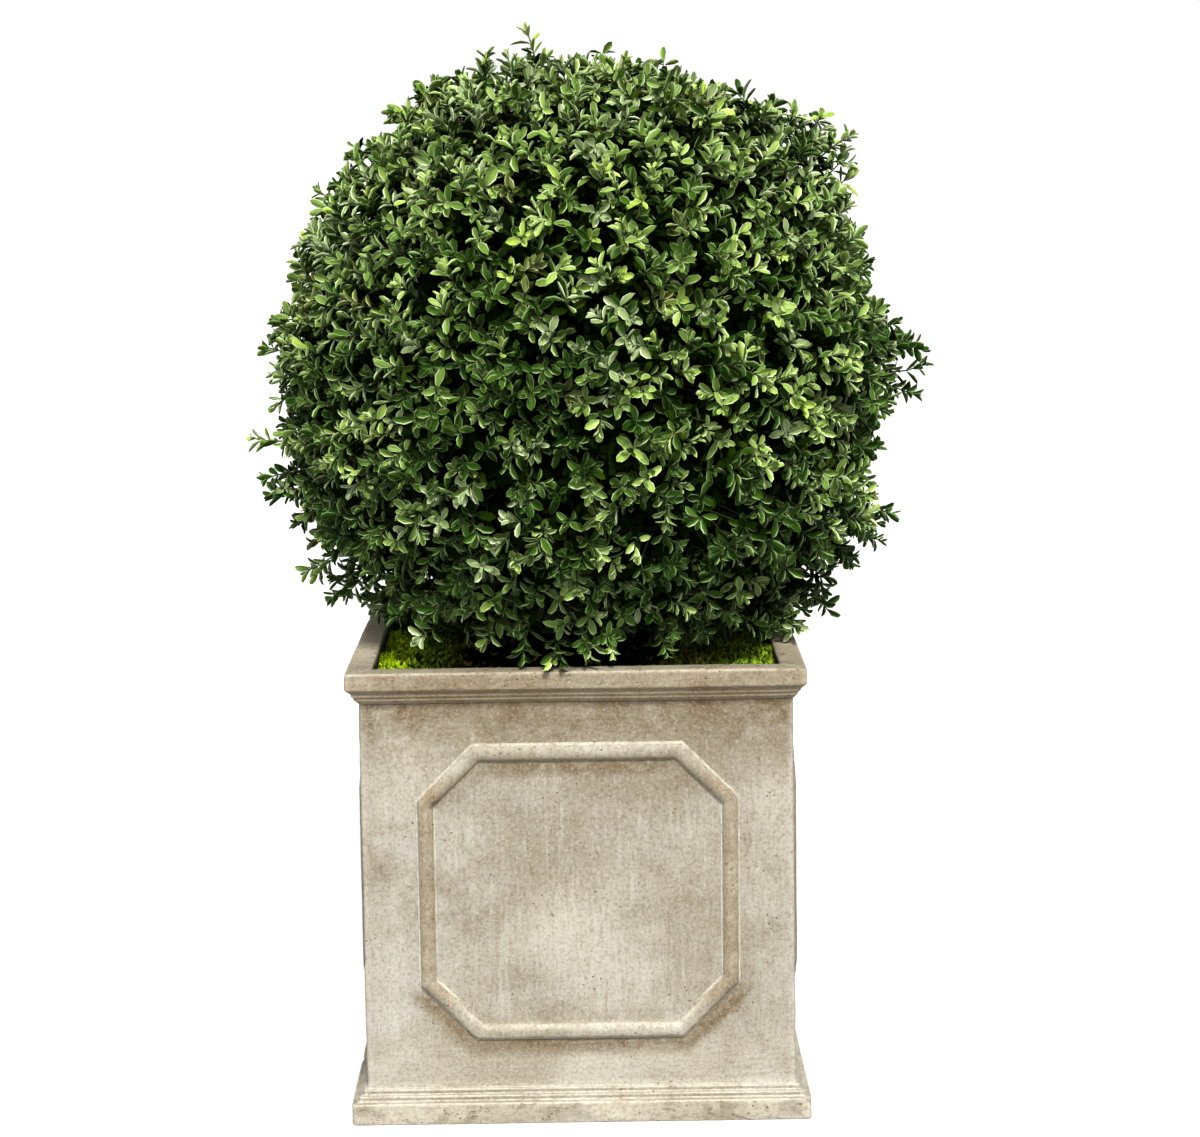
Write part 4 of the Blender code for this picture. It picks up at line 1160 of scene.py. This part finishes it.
def leaves_on(curves, chance, aims, pairs):
    """All leaves of the sprigs, pair by pair from the tip down, as arrays."""
    roots, bends, tips, span = curves
    count = len(roots)
    spin = chance.uniform(0.0, math.tau, count)
    vigour = chance.normal(1.0, 0.07, count)
    parts = []
    for pair, (depth, size, angle) in enumerate(pairs):
        spread = depth * chance.uniform(0.90, 1.15, count)
        place, heading = curve_at(roots, bends, tips, np.clip(1.0 - spread / span, 0.0, 1.0))
        first, second = square_to(heading)
        for side in (0, 1):
            turn = spin + math.pi * side + math.pi / 2 * pair + chance.normal(0.0, 0.16, count)
            out = first * np.cos(turn)[:, None] + second * np.sin(turn)[:, None]
            lean = np.radians(angle + chance.normal(0.0, 16.0, count))[:, None]
            grow = heading * np.cos(lean) + out * np.sin(lean)
            face = heading * np.sin(lean) - out * np.cos(lean)
            face = face + aims * 0.22 + UP * 0.20 + chance.normal(0.0, 0.46, face.shape)
            length = LEAF_LENGTH * size * vigour * chance.uniform(0.78, 1.14, count)
            parts.append({
                "root": place + out * 0.0004,
                "grow": grow,
                "face": unit(face - grow * np.sum(face * grow, axis=1, keepdims=True)),
                "length": length,
                "width": length * (LEAF_WIDTH / LEAF_LENGTH) * chance.uniform(0.92, 1.12, count),
                "bend": chance.normal(-0.16, 0.19, count),
                "sprig": np.arange(count),
                "pair": np.full(count, pair),
            })
    return {key: np.concatenate([part[key] for part in parts]) for key in parts[0]}


def over_rim(points, margin):
    """True where a point lies over the rim or beyond it, seen from above."""
    return np.max(np.abs(points[..., :2]), axis=-1) > MOUTH_HALF - margin


def from_stem(points):
    """Distance from the stem's line, seen from above."""
    return np.hypot(points[:, 0] - CROWN_CENTRE[0], points[:, 1] - CROWN_CENTRE[1])


def tips_that_stay(tips, lowest_over_rim, lowest_inside):
    """True for the tips above the rim and the moss, and clear of the stem."""
    stay = tips[:, 2] > np.where(over_rim(tips, 0.0), lowest_over_rim, lowest_inside)
    return stay & (from_stem(tips) + (tips[:, 2] > 0.55) > 0.05)


def keep_clear(leaves):
    """True for the leaves that touch neither the rim, the moss nor the stem."""
    along = leaves["grow"] * leaves["length"][:, None]
    good = np.ones(len(along), bool)
    for point in (leaves["root"], leaves["root"] + along * 0.6, leaves["root"] + along):
        good &= point[:, 2] > np.where(over_rim(point, 0.004), LOWEST_LEAF, LOWEST_INSIDE)
        good &= (from_stem(point) > 0.024) | (point[:, 2] > 0.50)
    return good


def select(leaves, chosen):
    """The chosen leaves of a set."""
    return {key: value[chosen] for key, value in leaves.items()}


def leaf_pieces(name, template, leaves, materials):
    """Joined leaves, in pieces under the limit of triangles."""
    faces, margin = template[3], template[4]
    most = PIECE_TRIANGLES // len(faces)
    for number, start in enumerate(range(0, len(leaves["root"]), most)):
        points = leaf_points(template, select(leaves, slice(start, start + most)))
        count, size = points.shape[:2]
        choice = np.tile(margin.astype(int), count) if len(materials) > 1 else None
        parts = (points.reshape(-1, 3), repeated(faces, count, size), materials, choice)
        add_piece("%s_%d" % (name, number + 1), "box_ball", "foliage", *parts)


def tubes(curves, radius_root, radius_tip, steps):
    """Three-sided stems along the sprigs' curves."""
    roots, bends, tips = curves[:3]
    rings = []
    for step in range(steps + 1):
        place, heading = curve_at(roots, bends, tips, np.full(len(roots), step / steps))
        first, second = square_to(heading)
        radius = radius_root + (radius_tip - radius_root) * step / steps
        for corner in range(3):
            angle = math.tau * corner / 3
            rings.append(place + (first * math.cos(angle) + second * math.sin(angle)) * radius)
    faces = []
    for step in range(steps):
        for corner in range(3):
            a, b = step * 3 + corner, step * 3 + (corner + 1) % 3
            faces += [(a, b, b + 3), (a, b + 3, a + 3)]
    last = steps * 3
    faces.append((last, last + 1, last + 2))
    points = np.stack(rings, axis=1)
    return points.reshape(-1, 3), repeated(np.array(faces), *points.shape[:2])


def outer_sprigs(twig_aims, shoots, shoot_reach, chance):
    """Aims and reaches of the sprigs at the ball's surface, long shoots and their companions included.
    """
    spacing = math.sqrt(4.0 * math.pi / OUTER_SPRIGS)
    stray = chance.normal(0.0, spacing * 0.30, (OUTER_SPRIGS, 3))
    aims = unit(even_directions(OUTER_SPRIGS) + stray)
    down = -aims[:, 2]
    reach = crown_radius(aims) - TIP_SPAN
    waves = noise_at(aims * 0.33, 26.0, 5.0)
    reach += TIP_SCATTER * (0.75 * waves + chance.uniform(-0.75, 0.35, OUTER_SPRIGS))
    apart = np.arccos(np.clip(np.max(aims @ twig_aims.T, axis=1), -1.0, 1.0))
    twig_spacing = math.sqrt(4.0 * math.pi / TWIG_COUNT)
    reach -= CLUMP_DEPTH * blend(apart, 0.30 * twig_spacing, 0.62 * twig_spacing)
    reach -= FOOT_RAGGEDNESS * chance.random(OUTER_SPRIGS) * blend(down, 0.45, 0.75)
    reach -= THINNED_REACH * (chance.random(OUTER_SPRIGS) < FOOT_THINNING * blend(down, 0.42, 0.70))
    far = chance.random(OUTER_SPRIGS) < FAR_SHARE
    reach += far * chance.uniform(0.004, 0.012, OUTER_SPRIGS)
    low = shoots[:, 2] < 0.04
    beside = np.repeat(shoots[low], SHOOT_COMPANIONS, axis=0)
    beside = unit(beside + chance.normal(0.0, COMPANION_STRAY, beside.shape))
    shorter = np.repeat(shoot_reach[low], SHOOT_COMPANIONS)
    shorter = shorter - chance.uniform(0.006, 0.026, len(beside))
    aims = np.concatenate((aims, shoots, beside))
    return aims, np.concatenate((reach, shoot_reach - TIP_SPAN, shorter))


def leaf_tints(aims, leaves, twig_aims, chance):
    """The row of LEAF_TINTS for each leaf, alike on a sprig and often on a main twig."""
    up = aims[:, 2]
    shares = np.cumsum([row[4] for row in LEAF_TINTS])
    # Painted light by height: lighter tints towards the top and the foot
    painted_light = TOP_PAINTED_LIGHT * blend(up, -0.32, 0.75) + FOOT_PAINTED_LIGHT * blend(-up, 0.50, 0.80)
    draw = chance.random(len(aims)) ** (DRAW_POWER - painted_light)
    tint = np.searchsorted(shares[:-1], draw)
    bough_tint = chance.choice(BOUGH_TINTS, len(twig_aims))
    alike = chance.random(len(aims)) < 0.40 * (1.0 - 0.6 * blend(up, 0.1, 0.8))
    tint = np.where(alike, bough_tint[np.argmax(aims @ twig_aims.T, axis=1)], tint)
    tint = tint[leaves["sprig"]]
    # Painted shade: the deeper pairs, and a few other leaves, trade light tints for dark ones
    lower = (leaves["pair"] > 3) | (chance.random(len(tint)) < 0.10)
    return np.where(lower & (tint > 3), chance.choice(LOW_LEAF_TINTS, len(tint)), tint)


def build_crown(chance):
    """The clipped crown: boughs, sprigs and their leaves."""
    shoots = np.array([direction_of(azimuth, elevation) for azimuth, elevation, _ in LONG_SHOOTS])
    shoot_reach = np.array([reach for _, _, reach in LONG_SHOOTS])
    main_aims = unit(even_directions(TWIG_COUNT) + chance.uniform(-0.05, 0.05, (TWIG_COUNT, 3)))
    twig_aims = np.concatenate((shoots, main_aims))
    aims, reach = outer_sprigs(twig_aims, shoots, shoot_reach, chance)
    low_tips = np.array(HANGING_TIPS + ROSETTE_TIPS)
    tips = np.concatenate((out_from_centre(aims, reach), low_tips))
    aims = np.concatenate((aims, unit(low_tips - CROWN_CENTRE)))
    droop = 0.18 * blend(aims[:, 2], -0.2, 0.5) - 0.34 * blend(-aims[:, 2], 0.25, 0.85)
    droop[-len(ROSETTE_TIPS):] = ROSETTE_LIFT
    droop[-len(low_tips):-len(ROSETTE_TIPS)] = HANGING_DROOP
    stay = tips_that_stay(tips, LOWEST_TIP, LOWEST_INSIDE)
    aims, tips, droop = aims[stay], tips[stay], droop[stay]
    sway = np.where(np.arange(len(aims)) < np.sum(stay[:OUTER_SPRIGS]), SPRIG_SWAY, PLACED_SWAY)
    curves = sprig_curves(aims, tips, twig_aims, chance, sway, droop)
    leaves = leaves_on(curves, chance, aims, PAIRS)
    tint = leaf_tints(aims, leaves, twig_aims, chance)
    good = keep_clear(leaves)
    detailed = leaves["pair"] < DETAILED_PAIRS
    fine, plain = leaf_template(), plain_leaf_template()
    for number, (name, blade, margin, specular, _) in enumerate(LEAF_TINTS):
        own = good & (tint == number)
        # The pale margin is partly the leaf's own lighter edge, partly a painted highlight
        both = [
            plain_finish("leaf_" + name, blade, 0.42, specular),
            plain_finish("leaf_margin_" + name, margin, 0.45, 0.36),
        ]
        leaf_pieces("leaves_" + name, fine, select(leaves, own & detailed), both)
        # Painted shade: the deepest pairs, as plain leaves, take the blade colour darkened
        shade = plain_finish("low_leaf_" + name, LOW_LEAF_PAINTED_SHADE * blade, 0.7, 0.02)
        leaf_pieces("low_leaves_" + name, plain, select(leaves, own & ~detailed), [shade])
    bark = plain_finish("sprig_stem", (0.060, 0.085, 0.030), 0.7, 0.3)
    add_piece("sprig_stems", "box_ball", "foliage", *tubes(curves, 0.0013, 0.0006, 4), [bark])
    build_inner_sprigs(twig_aims, chance, plain)
    build_boughs(twig_aims)


def build_inner_sprigs(twig_aims, chance, template):
    """Short sprigs between the outer ones, in shade."""
    stray = chance.normal(0.0, 0.03, (INNER_SPRIGS, 3))
    aims = unit(even_directions(INNER_SPRIGS)[:, [1, 0, 2]] + stray)
    tips = out_from_centre(aims, crown_radius(aims) - chance.uniform(0.030, 0.050, INNER_SPRIGS))
    stay = tips_that_stay(tips, 0.475, LOWEST_INSIDE + 0.006)
    aims, tips = aims[stay], tips[stay]
    droop = -0.4 * blend(-aims[:, 2], 0.3, 0.9)
    curves = sprig_curves(aims, tips, twig_aims, chance, 0.5, droop)
    leaves = leaves_on(curves, chance, aims, INNER_PAIRS)
    # Painted shade: near-black leaves stand for the shade between the outer sprigs
    shade = plain_finish("inner_leaf_painted_shade", (0.013, 0.031, 0.004), 0.8, 0.02)
    leaf_pieces("inner_leaves", template, select(leaves, keep_clear(leaves)), [shade])


def build_boughs(twig_aims):
    """The main twigs from the stem's upper end to the sprigs."""
    start = np.array((CROWN_CENTRE[0], CROWN_CENTRE[1] + STEM_LEAN, BOUGH_START))
    tips = out_from_centre(twig_aims, crown_radius(twig_aims) - SPRIG_ROOT_DEPTH + 0.01)
    high = (tips[:, 2] >= 0.48) & (twig_aims[:, 2] >= -0.93)
    tips, aims = tips[high], twig_aims[high]
    roots = np.repeat(start[None], len(tips), axis=0)
    bends = (roots + tips) / 2 - aims * 0.02
    wood = plain_finish("bough_wood", (0.045, 0.038, 0.025), 0.85, 0.2)
    parts = tubes((roots, bends, tips), 0.0055, 0.0024, 6)
    add_piece("boughs", "box_ball", "foliage", *parts, [wood])


def build_core():
    """The round frame inside an artificial ball, which the sprigs are set in, near-black as painted
    shade.
    """
    form = bmesh.new()
    bmesh.ops.create_icosphere(form, subdivisions=5, radius=1.0)
    aims = np.array([vert.co.normalized() for vert in form.verts])
    faces = np.array([[vert.index for vert in face.verts] for face in form.faces])
    form.free()
    reach = crown_radius(aims) - CORE_DEPTH + 0.006 * fractal_at(aims, 9.0, 2)
    points = out_from_centre(aims, reach)
    points[:, 2] = np.maximum(points[:, 2], LOWEST_INSIDE + 0.03)
    dark = plain_finish("frame_painted_shade", (0.006, 0.010, 0.004), 0.9, 0.03)
    add_piece("ball_frame", "box_ball", "foliage", points, faces, [dark])


def main():
    """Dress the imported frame, light it and set the camera."""
    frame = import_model()
    chance = np.random.default_rng(SEED)
    set_camera()
    set_light()
    build_floor()
    planter_top, moss_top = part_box("planter")[1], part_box("moss_bed")[1]
    build_planter(planter_top.z, planter_top.x)
    finish_filling(frame["nodes"]["potting_fill"])
    build_moss(min(moss_top.x, moss_top.y), chance)
    build_stem(*(corner.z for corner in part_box("main_stem")))
    build_crown(chance)
    build_core()


main()
